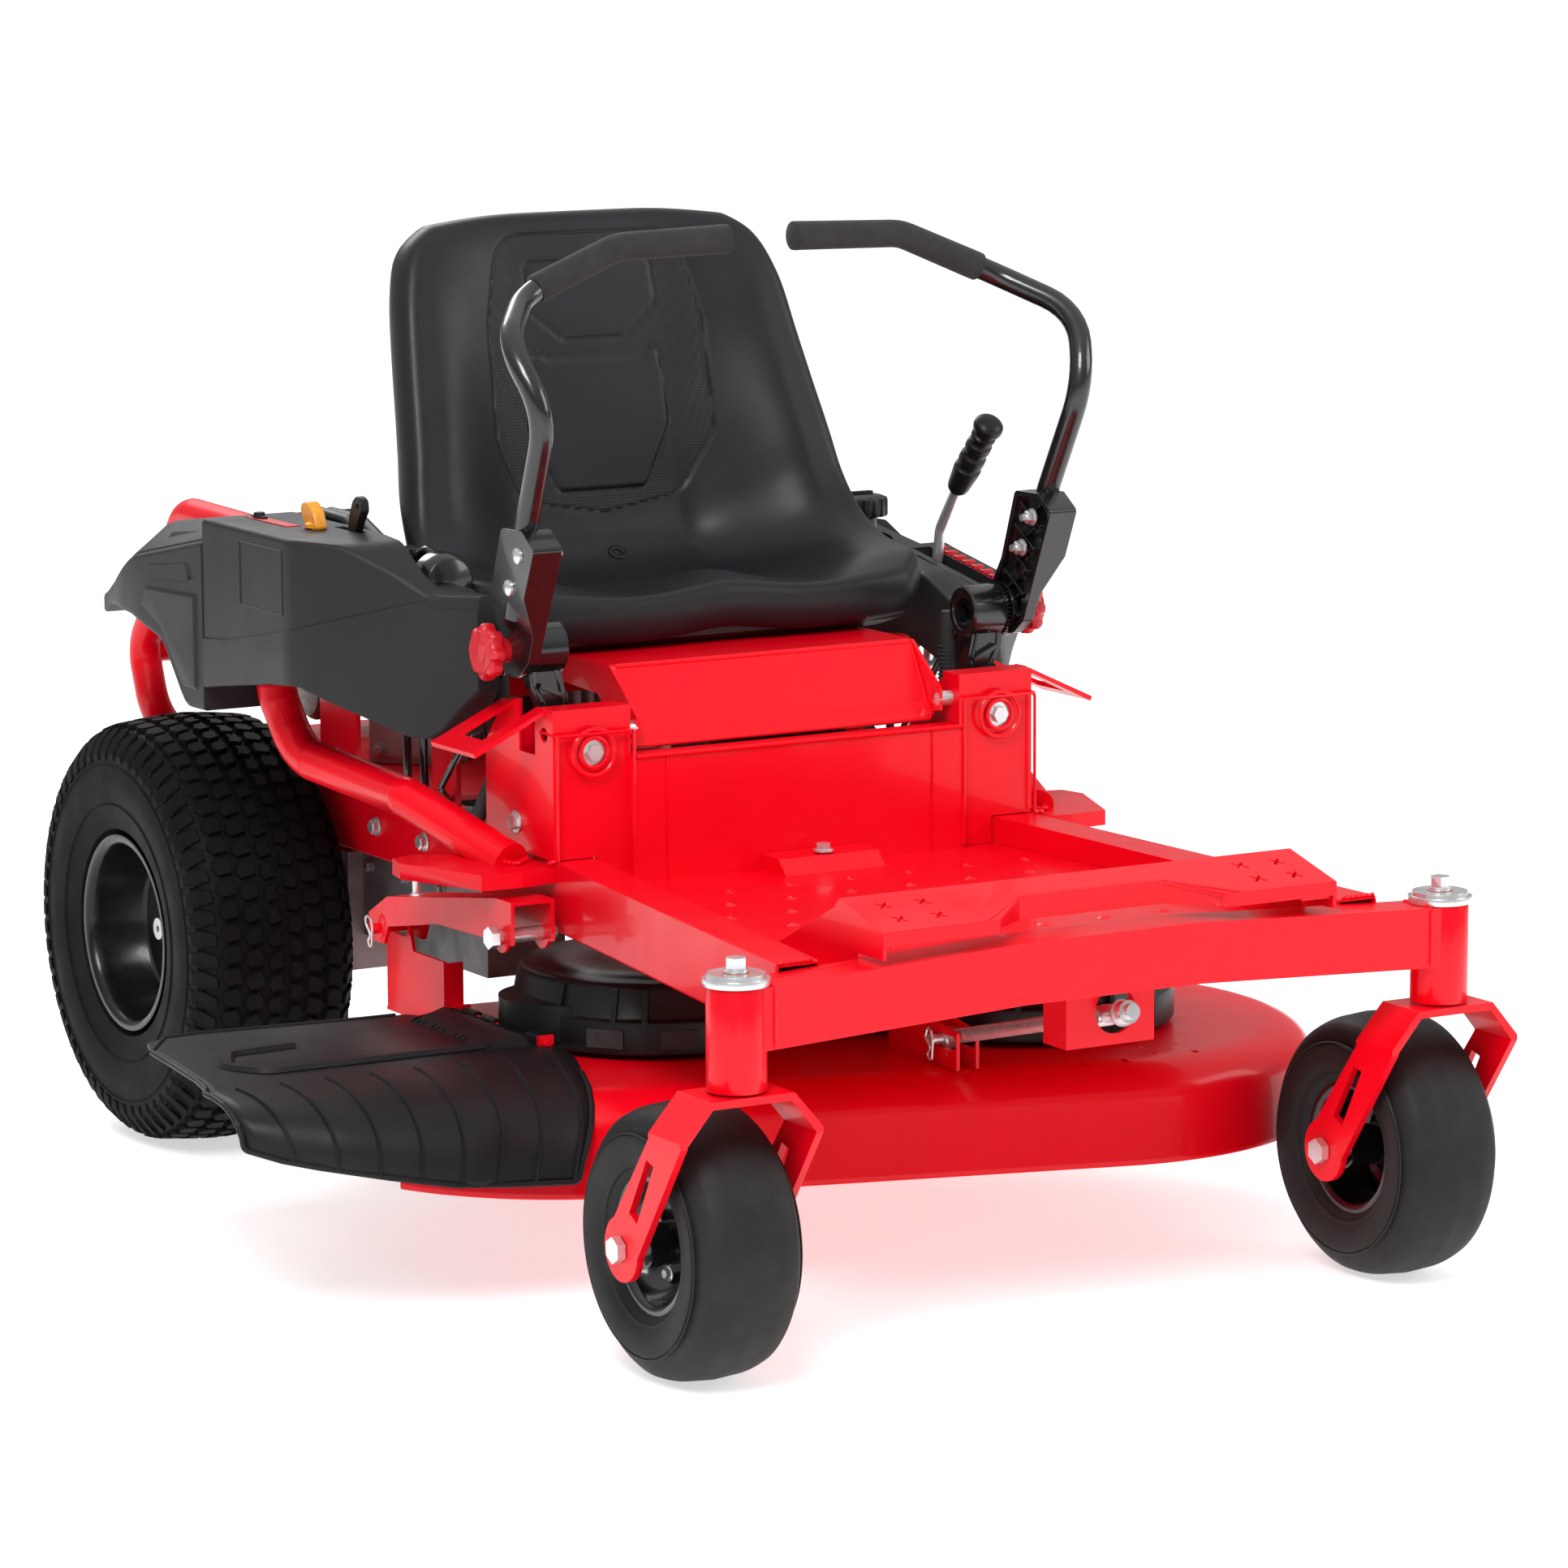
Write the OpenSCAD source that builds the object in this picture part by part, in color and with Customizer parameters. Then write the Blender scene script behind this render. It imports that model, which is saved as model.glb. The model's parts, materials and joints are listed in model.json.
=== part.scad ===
// Riding lawn mower with zero-turn steering and a two-blade side-discharge deck.
// Working frame: x = 0 on the centre plane (+x is the operator's left), y = 0 on the line
// through the caster posts (+y towards the engine), z = 0 on the ground, millimetres.

/* [Wheels] */
// Diameter of a front caster tyre
front_tire_d = 279.4; // [270:1:285]
// Width of a front caster tyre
front_tire_w = 124; // [116:1:130]
// Distance of each caster post from the centre plane
post_x = 420; // [415:1:425]
// Distance of a caster axle behind its post
caster_trail = 92; // [88:1:93]
// Diameter of a rear drive tyre
rear_tire_d = 498.6; // [490:1:508]
// Width of a rear drive tyre
rear_tire_w = 206; // [196:1:206]
// Distance of each rear wheel from the centre plane
rear_wheel_x = 376; // [376:1:382]
// Distance from the caster posts back to the rear axle
wheelbase = 1351; // [1345:1:1356]

/* [Deck] */
// Radius of the deck shell round each blade
deck_r = 287; // [284:1:288]
// Half the distance between the two blade spindles, across the mower
spindle_half_x = 262; // [260:1:264]
// Position of the left spindle behind the caster posts
spindle_left_y = 500; // [498:1:503]
// Position of the right spindle behind the caster posts
spindle_right_y = 653; // [650:1:656]
// Height of the deck's lower rim at the highest cutting setting
deck_rim_z = 115; // [113:1:118]
// Height of the deck's top plate
deck_top_z = 222; // [220:1:224]
// Length of a blade
blade_l = 543; // [530:1:545]
// Reach of the discharge deflector from the centre plane
deflector_reach = 737; // [725:1:745]

/* [Frame] */
// Outer diameter of a caster post
post_d = 60; // [58:1:62]
// Height of the underside of the side rails
rail_z = 347; // [346:1:350]
// Height of the floor pan
pan_z = 400; // [398:1:402]
// Height of the top of each lever tower
tower_top_z = 592; // [588:1:596]
// Radius of the tube in the rear engine guard
guard_r = 19; // [17:1:20]

/* [Controls] */
// Height of the lever pivot hub
hub_z = 650; // [648:1:652]
// Distance of the lever pivot hub behind the caster posts
hub_y = 672; // [670:1:674]
// Radius of the steering lever tube
lever_r = 12.5; // [11:0.5:13]
// Radius of the foam grip
grip_r = 15.5; // [14.5:0.5:17]

/* [Hidden] */
$fn = 48;

// Colours
red = "#d5101c";
charcoal = "#35363a";
black = "#151516";
zinc = "#c9ccd0";
cast_grey = "#7d8083";

// Extreme points of the whole machine, used to centre it on the row frame
guard_y = 1585;
hitch_back_y = 1620;
front_edge_y = caster_trail - front_tire_d / 2;
mid_x = (spindle_half_x + deck_r - deflector_reach) / 2;
mid_y = (hitch_back_y + front_edge_y) / 2;

// Heights and places that several sub-parts share
front_axle_z = front_tire_d / 2;
rear_axle_z = rear_tire_d / 2;
run = 0.05;
post_bottom_z = 308;
post_top_z = 412;
spindle_r = 12.7;
fork_leg_x = 72;
fork_plate = 8;
rear_rail_x = 237;
tower_y = 600;
swing_bolt = [254, 545];
seat_hinge = [620, 564];
lift_pivot = [590, 358];
lift_pin = [887, 319];
link_pivot = [45, 325];
link_pin = [342, 250];
link_x = 32;
lift_lever_x = 380;
lift_lever_pivot = [960, 540];
hinge_x = 325;
hinge_z = 240;
blade_z = deck_rim_z + 12;
belt_z = deck_top_z + 24;
pulley_r = 48;
clutch_y = 1380;
cap_at = [335, 1050, 722];

// ---------- helpers ----------

module in_row_frame() translate([-mid_x, -mid_y, 0]) children();

module both_sides() {
  children();
  mirror([1, 0, 0]) children();
}

module on_side(side) {
  if (side == "left") children();
  else mirror([1, 0, 0]) children();
}

function unit(v) = v / norm(v);

// A straight round bar from point a to point b
module rod(a, b, r) {
  d = b - a;
  translate(a)
    rotate([0, acos(d.z / norm(d)), atan2(d.y, d.x)])
      cylinder(h = norm(d), r = r);
}

function bend_trim(p, q, s, bend_r) = bend_r * tan(acos(unit(q - p) * unit(s - q)) / 2);

// One bend of a tube, at corner q on the way from p to s
module tube_bend(p, q, s, r, bend_r) {
  u = unit(q - p);
  v = unit(s - q);
  turn = acos(u * v);
  inward = unit(v - u * (u * v));
  start = q - u * bend_trim(p, q, s, bend_r);
  centre = start + inward * bend_r;
  side = cross(-inward, u);
  multmatrix([
    [-inward.x, u.x, side.x, centre.x],
    [-inward.y, u.y, side.y, centre.y],
    [-inward.z, u.z, side.z, centre.z],
    [0, 0, 0, 1]])
    rotate_extrude(angle = turn) translate([bend_r, 0]) circle(r = r + 0.15);
}

// A round tube along corner points, with a bend at every inner corner
module bent_tube(points, r, bend_r) {
  last = len(points) - 1;
  for (i = [0 : last - 1]) {
    a = points[i];
    b = points[i + 1];
    cut_a = i == 0 ? 0 : bend_trim(points[i - 1], a, b, bend_r) - 1;
    cut_b = i == last - 1 ? 0 : bend_trim(a, b, points[i + 2], bend_r) - 1;
    rod(a + unit(b - a) * cut_a, b - unit(b - a) * cut_b, r);
  }
  for (i = [1 : last - 1]) {
    tube_bend(points[i - 1], points[i], points[i + 1], r, bend_r);
  }
}

// A flat plate drawn in the y-z plane, from x0 to x1
module plate_yz(points, x0, x1) {
  translate([x0, 0, 0])
    rotate([90, 0, 90]) linear_extrude(x1 - x0) polygon(points);
}

// A flat plate drawn in the x-z plane, from y0 to y1
module plate_xz(points, y0, y1) {
  translate([0, y1, 0])
    rotate([90, 0, 0]) linear_extrude(y1 - y0) polygon(points);
}

// A flat plate drawn in the x-y plane, from z0 to z1
module plate_xy(points, z0, z1) {
  translate([0, 0, z0]) linear_extrude(z1 - z0) polygon(points);
}

module block(low, high) translate(low) cube(high - low);

// Round bar along x, y
module bar_x(x0, x1, y, z, r) translate([x0, y, z]) rotate([0, 90, 0]) cylinder(h = x1 - x0, r = r);
module bar_y(y0, y1, x, z, r) translate([x, y0, z]) rotate([-90, 0, 0]) cylinder(h = y1 - y0, r = r);

// Hexagon bolt head of width w across corners, along +z
module hex_head(w, h) cylinder(h = h, d = w, $fn = 6);

// Rounded tyre section: superellipse half-width half_w between radii r0 and r1
function tire_section(half_w, r0, r1, power, steps) = [
  for (i = [0 : steps]) let (
    a = -40 + 260 * i / steps,
    c = cos(a),
    s = sin(a),
    mid = (r0 + r1) / 2)
  [
    mid + (r1 - r0) / 2 * sign(s) * pow(abs(s), 2 / power),
    half_w * sign(c) * pow(abs(c), 2 / power)
  ]];

// Hollow tyre, open towards its rim, about the z axis
module tire(r_out, r_bead, half_w, wall, power) {
  rotate_extrude() difference() {
    polygon(tire_section(half_w, r_bead - 14, r_out, power, 26));
    polygon(tire_section(half_w - wall, r_bead - 14 - wall, r_out - wall, power, 26));
    translate([0, -half_w * 2]) square([r_bead, half_w * 4]);
  }
}

// Pressed steel rim with a dished disc, about the z axis, disc towards +z
module rim(r_bead, r_lip, half_w, disc_z, hub_r, hub_len, bore_r) {
  sheet = 3.5;
  difference() {
    union() {
      rotate_extrude() polygon([
        [r_bead - sheet - 0.4, -half_w + 2], [r_lip, -half_w], [r_lip, -half_w + sheet],
        [r_bead - 0.4, -half_w + 12], [r_bead - 8, 0], [r_bead - 0.4, half_w - 12],
        [r_lip, half_w - sheet], [r_lip, half_w], [r_bead - sheet - 0.4, half_w - 2],
        [r_bead - 8 - sheet, 14], [r_bead - 8 - sheet, -14]]);
      rotate_extrude() polygon([
        [bore_r, disc_z - 10], [r_bead * 0.45, disc_z - 10], [r_bead * 0.7, disc_z - 2],
        [r_bead - 8, disc_z - 2], [r_bead - 8, disc_z + 2], [r_bead * 0.68, disc_z + 2],
        [r_bead * 0.43, disc_z - 6], [bore_r, disc_z - 6]]);
      translate([0, 0, disc_z - 8 - hub_len / 2]) cylinder(h = hub_len, r = hub_r);
    }
    translate([0, 0, -400]) cylinder(h = 800, r = bore_r);
  }
}

// ---------- chassis ----------

module front_beam() color(red) in_row_frame() {
  beam_h = 63;
  front_y = -25;
  back_y = 27;
  arch = [[-post_x + 16, 348], [-105, 362], [105, 362], [post_x - 16, 348],
    [post_x - 16, 348 + beam_h], [105, 362 + beam_h], [-105, 362 + beam_h],
    [-post_x + 16, 348 + beam_h]];
  core = [[-post_x + 36, 353], [-105, 366], [105, 366], [post_x - 36, 353],
    [post_x - 36, 343 + beam_h], [105, 358 + beam_h], [-105, 358 + beam_h],
    [-post_x + 36, 343 + beam_h]];
  difference() {
    union() {
      plate_xz(arch, front_y, back_y);
      both_sides() translate([post_x, 0, post_bottom_z])
        cylinder(h = post_top_z - post_bottom_z, d = post_d);
    }
    plate_xz(core, front_y + 4, back_y - 4);
    both_sides() translate([post_x, 0, 0]) cylinder(h = 600, r = post_d / 2 - 4);
  }
  // hanger box for the deck's front link
  difference() {
    block([-27, 20, 300], [79, 63, 396]);
    block([-23, 24, 290], [75, 70, 400]);
    bar_y(10, 30, link_x, 335, 24);
    block([-30, 15, 365], [82, 28, 397]);
  }
}

module caster_bushings() color(zinc) in_row_frame() both_sides()
  for (z = [post_bottom_z, post_top_z - 22]) translate([post_x, 0, z]) difference() {
    cylinder(h = 22, r = post_d / 2 - 4.1);
    translate([0, 0, -1]) cylinder(h = 24, r = spindle_r + run);
  }

module side_rails() color(red) in_row_frame() both_sides() {
  rail_end_y = 1556;
  plan = [[309, 27], [360, 27], [300, tower_y], [rear_rail_x + 25, 860],
    [rear_rail_x + 25, rail_end_y], [rear_rail_x - 25, rail_end_y], [rear_rail_x - 25, 860],
    [250, tower_y]];
  core = [[313, 20], [356, 20], [296, tower_y], [rear_rail_x + 21, 860],
    [rear_rail_x + 21, rail_end_y + 9], [rear_rail_x - 21, rail_end_y + 9],
    [rear_rail_x - 21, 860], [254, tower_y]];
  difference() {
    intersection() {
      plate_xy(plan, 300, 500);
      plate_yz([[0, 345], [tower_y, 355], [2000, 355], [2000, 430], [tower_y, 430], [0, 420]],
        150, 400);
    }
    intersection() {
      plate_xy(core, 300, 500);
      plate_yz([[0, 349], [tower_y, 359], [2000, 359], [2000, 426], [tower_y, 426], [0, 416]],
        150, 400);
    }
  }
}

module foot_plate() color(red) in_row_frame() {
  half = 270;
  sheet = 4;
  top = [[-28, 438], [-28, 452], [56, 474], [66, 466], [64, 463], [56, 470], [-24, 449], [-24, 438]];
  difference() {
    plate_yz(top, -half, half);
    plate_xy([[-150, -40], [-86, 15], [86, 15], [150, -40]], 400, 500);
    both_sides() for (x = [190, 235], y = [-2, 30]) translate([x, y, 400])
      for (a = [45, -45]) rotate(a) translate([-9, -1.5, 0]) cube([18, 3, 90]);
  }
  // turned-down lip round the front cut-out
  difference() {
    plate_xy([[-154, -28], [-89, 19], [89, 19], [154, -28], [149, -28], [86, 15], [-86, 15],
      [-149, -28]], 440, 470);
    plate_yz([[-60, 446], [56, 474], [80, 500], [-60, 500]], -200, 200);
  }
  both_sides() plate_yz([[-27, 424], [-27, 450], [56, 471], [62, 466], [190, 404], [190, 401],
    [28, 401], [28, 424]], half - sheet, half);
}

module floor_pan() color(red) in_row_frame() {
  sheet = 3;
  plate_xy([[-308, 28], [308, 28], [249, 599], [-249, 599]], pan_z - sheet, pan_z);
  // raised boss over the cross-member, with a rounded nose
  difference() {
    plate_yz([[540, pan_z], [556, 416], [591, 418], [591, pan_z]], -50, 75);
    translate([12, 566, 390]) cylinder(h = 40, r = 5.1);
  }
}

module towers() color(red) in_row_frame() {
  sheet = 4;
  both_sides() {
    difference() {
      union() {
        plate_xz([[206, pan_z + 0.2], [248, pan_z + 0.2], [248, 431], [300, 431],
          [300, tower_top_z], [206, tower_top_z]], tower_y, tower_y + sheet);
        plate_yz([[tower_y, 431], [tower_y, tower_top_z], [628, tower_top_z], [640, 576],
          [640, 540], [676, 540], [676, 597], [712, 590], [755, 540], [755, 431]], 296, 300);
        plate_yz([[tower_y, 431], [tower_y, tower_top_z], [628, tower_top_z], [700, 520],
          [755, 500], [755, 431]], 206, 206 + sheet);
        block([206, tower_y, tower_top_z - sheet], [300, 634, tower_top_z]);
        block([206, 680, 431], [300, 684, 566]);
      }
      bar_y(590, 700, swing_bolt[0], swing_bolt[1], 6 + run);
      bar_x(190, 320, seat_hinge[0], seat_hinge[1], 8 + run);
      bar_x(290, 320, 684, 462, 5.1);
    }
    // console support: sloping plate with a window, welded to the tower's side
    difference() {
      plate_xz([[300, 588], [300, 593], [388, 552], [386, 547]], 612, 712);
      block([299, 634, 500], [366, 690, 600]);
    }
  }
  // panel between the towers with a folded top
  block([-205, 592, pan_z], [205, 595, 537]);
  block([-205, 592, 534], [205, 622, 537]);
  both_sides() block([202, 592, pan_z + 0.2], [207, 601, 537]);
}

module side_guards() color(red) in_row_frame() both_sides() {
  step = [[301, 594], [345, 586], [392, 590], [433, 700], [426, 732], [396, 742], [340, 706],
    [301, 690]];
  rim_in = [[301, 597], [346, 590], [389, 594], [429, 700], [423, 729], [396, 738], [342, 703],
    [301, 687]];
  difference() {
    plate_xy(step, 409, 426);
    plate_xy(rim_in, 400, 422);
  }
  bent_tube([[331, 640, 426.5], [368, 812, 476], [391, 1028, 494], [402, 1062, 560],
    [402, 1070, 650]], 22, 60);
}

// Hollow moulded pod: outline drawn in plan, cut by side profiles, open underneath
module pod(plan, core, side, side_core) {
  difference() {
    intersection() {
      plate_xy(plan, 400, 800);
      plate_yz(side, 200, 500);
    }
    intersection() {
      plate_xy(core, 400, 800);
      plate_yz(side_core, 200, 500);
    }
  }
}

pod_plan = [[470, 1110], [470, 880], [392, 772], [312, 714], [304, 720], [304, 1110]];
pod_core = [[466, 1106], [466, 882], [389, 776], [312, 719], [308, 722], [308, 1106]];

module console_right() color(charcoal) in_row_frame() mirror([1, 0, 0]) difference() {
  pod(pod_plan, pod_core,
    [[1110, 590], [1040, 572], [880, 595], [800, 578], [745, 550], [722, 585], [714, 618],
      [700, 622], [700, 706], [775, 700], [800, 716], [853, 752], [1110, 756]],
    [[1106, 560], [1040, 560], [880, 560], [800, 540], [745, 540], [712, 540], [712, 560],
      [702, 600], [702, 702], [775, 696], [802, 712], [855, 748], [1106, 752]]);
  // knob and throttle slots in the top
  translate([400, 960, 700]) cylinder(h = 100, r = 6 + run);
  block([366, 900, 740], [376, 960, 770]);
  bar_x(360, 382, 925, 742, 5 + run);
}

module console_left() color(charcoal) in_row_frame() difference() {
  pod(pod_plan, pod_core,
    [[1110, 590], [1040, 572], [880, 595], [800, 578], [745, 550], [722, 585], [714, 618],
      [700, 622], [700, 656], [760, 662], [1110, 700]],
    [[1106, 560], [1040, 560], [880, 560], [800, 540], [745, 540], [712, 540], [712, 560],
      [702, 600], [702, 652], [760, 658], [1106, 696]]);
  // lift lever slot
  block([lift_lever_x - 10, 826, 600], [lift_lever_x + 10, 968, 760]);
  // opening over the fuel tank's filler
  translate([cap_at.x, cap_at.y, 600]) cylinder(h = 200, r = 48);
}

fender_plan = [[470, 1110.5], [470, 1290], [450, 1428], [362, 1428], [362, 1190], [263, 1190],
  [263, 1110.5]];
fender_core = [[466, 1114], [466, 1288], [447, 1424], [366, 1424], [366, 1186], [267, 1186],
  [267, 1114]];

// Each fender is as tall as the console in front of it, so the left one is the lower
module fenders() color(charcoal) in_row_frame() {
  mirror([1, 0, 0]) pod(fender_plan, fender_core,
    [[1110, 540], [1110, 755], [1310, 733], [1428, 640], [1428, 632], [1245, 617], [1163, 542]],
    [[1114, 530], [1114, 751], [1308, 729], [1420, 641], [1424, 630], [1428, 600], [1163, 500]]);
  pod(fender_plan, fender_core,
    [[1110, 540], [1110, 700], [1310, 687], [1428, 640], [1428, 632], [1245, 617], [1163, 542]],
    [[1114, 530], [1114, 696], [1308, 683], [1420, 638.5], [1424, 630], [1428, 600], [1163, 500]]);
}

module rear_frame() color(red) in_row_frame() {
  plate_z = 431;
  back_y = 1556.3;
  difference() {
    block([-262, 1000, plate_z], [262, back_y - 0.3, plate_z + 6]);
    translate([0, clutch_y, 400]) cylinder(h = 60, r = 30);
  }
  // rear cross plate and the hitch tongue behind it
  block([-262, back_y, 330], [262, back_y + 6, plate_z + 6]);
  difference() {
    union() {
      block([-60, back_y + 6.2, 330], [60, 1600, 338]);
      block([-40, 1590, 330], [40, hitch_back_y, 338]);
      for (x = [-40, 40]) translate([x, 1600, 330]) cylinder(h = 8, r = 20);
    }
    translate([0, 1597, 300]) cylinder(h = 60, r = 8);
  }
  // uprights that carry the fenders, and a cross tube under the seat
  both_sides() block([256, 1150, plate_z + 6.2], [262, 1244, 706]);
  both_sides() block([256, 900, plate_z], [262, 960, 598]);
  block([-255.8, 918, 558], [255.8, 942, 598]);
}

module engine_guard() color(red) in_row_frame() {
  both_sides() {
    bent_tube([[330, 1198, 715], [330, 1450, 720], [330, guard_y, 545], [330, 1555, 470],
      [256, 1593, 400]], guard_r, 45);
    block([262.5, 1204, 700], [330, 1238, 706]);
  }
  bar_x(-330, 330, guard_y, 545, guard_r);
}

module engine_block() color(cast_grey) in_row_frame() {
  translate([0, clutch_y, 437.5]) cylinder(h = 90, r = 96);
  for (a = [-45, 45]) translate([0, clutch_y, 482]) rotate([0, 0, a]) {
    translate([-45, -205, -38]) cube([90, 110, 80]);
    for (k = [0 : 5]) translate([-58, -110 - 16 * k, -44]) cube([116, 6, 92]);
    translate([-50, -222, -44]) cube([100, 18, 90]);
  }
  difference() {
    translate([0, clutch_y, 400]) cylinder(h = 40, r = 26);
    translate([0, clutch_y, 390]) cylinder(h = 42, r = 12.7 + run);
  }
}

module engine_shroud() color(black) in_row_frame() translate([0, clutch_y, 0]) {
  difference() {
    union() {
      translate([0, 0, 534]) cylinder(h = 70, r = 150);
      translate([0, 0, 604]) cylinder(h = 40, r = 118);
    }
    translate([0, 0, 530]) cylinder(h = 70, r = 146);
    for (a = [0 : 15 : 345]) rotate(a) translate([50, -3, 636]) cube([55, 6, 20]);
  }
}

module muffler() color("#55585c") in_row_frame() {
  bar_x(-150, 150, 1518, 486, 36);
  both_sides() bar_y(1468, 1500, 60, 486, 12);
}

module air_cleaner() color(black) in_row_frame()
  translate([0, clutch_y - 40, 644.3]) cylinder(h = 62, r = 70);

module hydro_drives() color(cast_grey) in_row_frame() both_sides() difference() {
  union() {
    block([128, 900, 246], [226, 1213, 344]);
    block([110, 1211, 205], [246, 1430, 344]);
    bar_x(240, 262, wheelbase, rear_axle_z, 48);
    translate([177, 1040, 344]) cylinder(h = 26, r = 34);
  }
  bar_x(130, 300, wheelbase, rear_axle_z, 12.7 + run);
}

module fuel_tank() color(black) in_row_frame() {
  difference() {
    union() {
      block([308.5, 975, 596], [375, 1105.5, 672]);
      translate([cap_at.x, cap_at.y, 660]) cylinder(h = 52, r = 31);
    }
    block([312, 979, 600], [371, 1101, 668]);
    translate([cap_at.x, cap_at.y, 660]) cylinder(h = 80, r = 22);
  }
}

module battery() color(black) in_row_frame() {
  block([-85, 640, 400.3], [85, 730, 540]);
  for (x = [-60, 60]) translate([x, 660, 540]) cylinder(h = 14, r = 8);
}

module frame_bolts() color(zinc) in_row_frame() {
  // lever swing bolts
  both_sides() {
    bar_y(598, 694, swing_bolt[0], swing_bolt[1], 6);
    translate([swing_bolt[0], 598, swing_bolt[1]]) rotate([90, 0, 0]) {
      cylinder(h = 2.5, r = 14);
      hex_head(19, 9);
    }
    // seat hinge bolts
    bar_x(190, 216, seat_hinge[0], seat_hinge[1], 8);
    translate([210.2, seat_hinge[0], seat_hinge[1]]) rotate([0, 90, 0]) hex_head(24, 9);
    // tower side bolts
    bar_x(290, 303, 684, 462, 5);
    translate([300.2, 684, 462]) rotate([0, 90, 0]) {
      cylinder(h = 2, r = 12);
      hex_head(17, 8);
    }
    // lift arm pivot bolts
    bar_x(306, 376, lift_pivot[0], lift_pivot[1], 8);
    translate([376, lift_pivot[0], lift_pivot[1]]) rotate([0, 90, 0]) hex_head(25, 9);
  }
  // floor pan bolt
  translate([12, 566, 400.3]) cylinder(h = 22, r = 5);
  translate([12, 566, 418.2]) {
    cylinder(h = 2.5, r = 11);
    hex_head(17, 9);
  }
}

// ---------- casters ----------

module caster_fork(side) color(red) in_row_frame() on_side(side) translate([post_x, 0, 0]) {
  crown_z = 300;
  leg_top_z = 264;
  crown_half = 44;
  inner = fork_leg_x;
  outer = fork_leg_x + fork_plate;
  // bent strap seen from the front: crown, sloped shoulders and legs
  strap = [[-outer, 90], [-outer, leg_top_z + 4], [-crown_half - 3, crown_z + fork_plate - 2],
    [crown_half + 3, crown_z + fork_plate - 2], [outer, leg_top_z + 4], [outer, 90],
    [inner, 90], [inner, leg_top_z], [crown_half, crown_z - 2], [-crown_half, crown_z - 2],
    [-inner, leg_top_z], [-inner, 90]];
  difference() {
    intersection() {
      plate_xz(strap, -40, 140);
      union() {
        plate_yz([[-32, 320], [-30, 262], [caster_trail - 33, front_axle_z - 4],
          [caster_trail + 32, front_axle_z + 6], [34, 262], [34, 320]], -100, 100);
        bar_x(-100, 100, caster_trail, front_axle_z, 33);
      }
    }
    bar_x(-100, 100, caster_trail, front_axle_z, 9.6);
    plate_yz([[24, 236], [38, 240], [74, 180], [58, 172]], -100, 100);
  }
  translate([0, 0, crown_z + fork_plate - 3]) cylinder(h = 119, r = spindle_r);
}

module caster_hardware(side) color(zinc) in_row_frame() on_side(side) translate([post_x, 0, 0]) {
  bar_x(-88, 88, caster_trail, front_axle_z, 9.5);
  for (x = [-90, 81]) translate([x, caster_trail, front_axle_z]) rotate([0, 90, 0]) hex_head(28, 9);
  // dust cap over the post and the bolt that holds it
  difference() {
    union() {
      translate([0, 0, post_top_z + 0.3]) cylinder(h = 11.7, r = 29);
      translate([0, 0, post_top_z + 0.3]) cylinder(h = 7, r = 33.5);
    }
    translate([0, 0, post_top_z - 10]) cylinder(h = 24, r = spindle_r + 0.4);
  }
  translate([0, 0, post_top_z + 12.2]) {
    cylinder(h = 4, r = 12);
    hex_head(22, 15);
  }
}

module caster_tire(side) color(black) in_row_frame() on_side(side)
  translate([post_x, caster_trail, front_axle_z]) rotate([0, 90, 0])
    tire(front_tire_d / 2, 68, front_tire_w / 2, 9, 2.5);

module caster_rim(side) color(black) in_row_frame() on_side(side)
  translate([post_x, caster_trail, front_axle_z]) rotate([0, 90, 0])
    rim(68, 70, 48, 18, 24, 110, 9.5 + run);

// ---------- drive wheels ----------

module rear_tire(side) color(black) in_row_frame() on_side(side)
  translate([rear_wheel_x, wheelbase, rear_axle_z]) rotate([0, 90, 0])
    tire(rear_tire_d / 2, 110, rear_tire_w / 2, 12, 3.4);

module rear_rim(side) color(black) in_row_frame() on_side(side)
  translate([rear_wheel_x, wheelbase, rear_axle_z]) rotate([0, 90, 0])
    rim(110, 109.7, 91, 20, 42, 60, 12.7);

module rear_axle(side) color(zinc) in_row_frame() on_side(side)
  difference() {
    bar_x(140, rear_wheel_x + 48, wheelbase, rear_axle_z, 12.65);
    bar_x(rear_wheel_x + 40, rear_wheel_x + 60, wheelbase, rear_axle_z, 4);
  }

// ---------- steering levers ----------

module lever_stand(side) color(black) in_row_frame() on_side(side) difference() {
  union() {
    plate_xz([[236, 534], [272, 534], [292, 596], [296, 640], [262, 652], [246, 600]], 645, 670);
    bar_y(645, 670, swing_bolt[0], swing_bolt[1], 21);
    bar_x(258, 299, hub_y, hub_z, 28.5);
  }
  bar_y(600, 720, swing_bolt[0], swing_bolt[1], 6 + run);
  bar_x(250, 310, hub_y, hub_z, 9 + run);
  bar_x(250, 266, hub_y, hub_z, 22);
}

lever_path = [[43, 675, 1076], [176, 675, 1073], [291, 673, 1026], [353, 590, 985],
  [332, 546, 912], [325, 607, 787], [326, 634, 700]];

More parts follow.
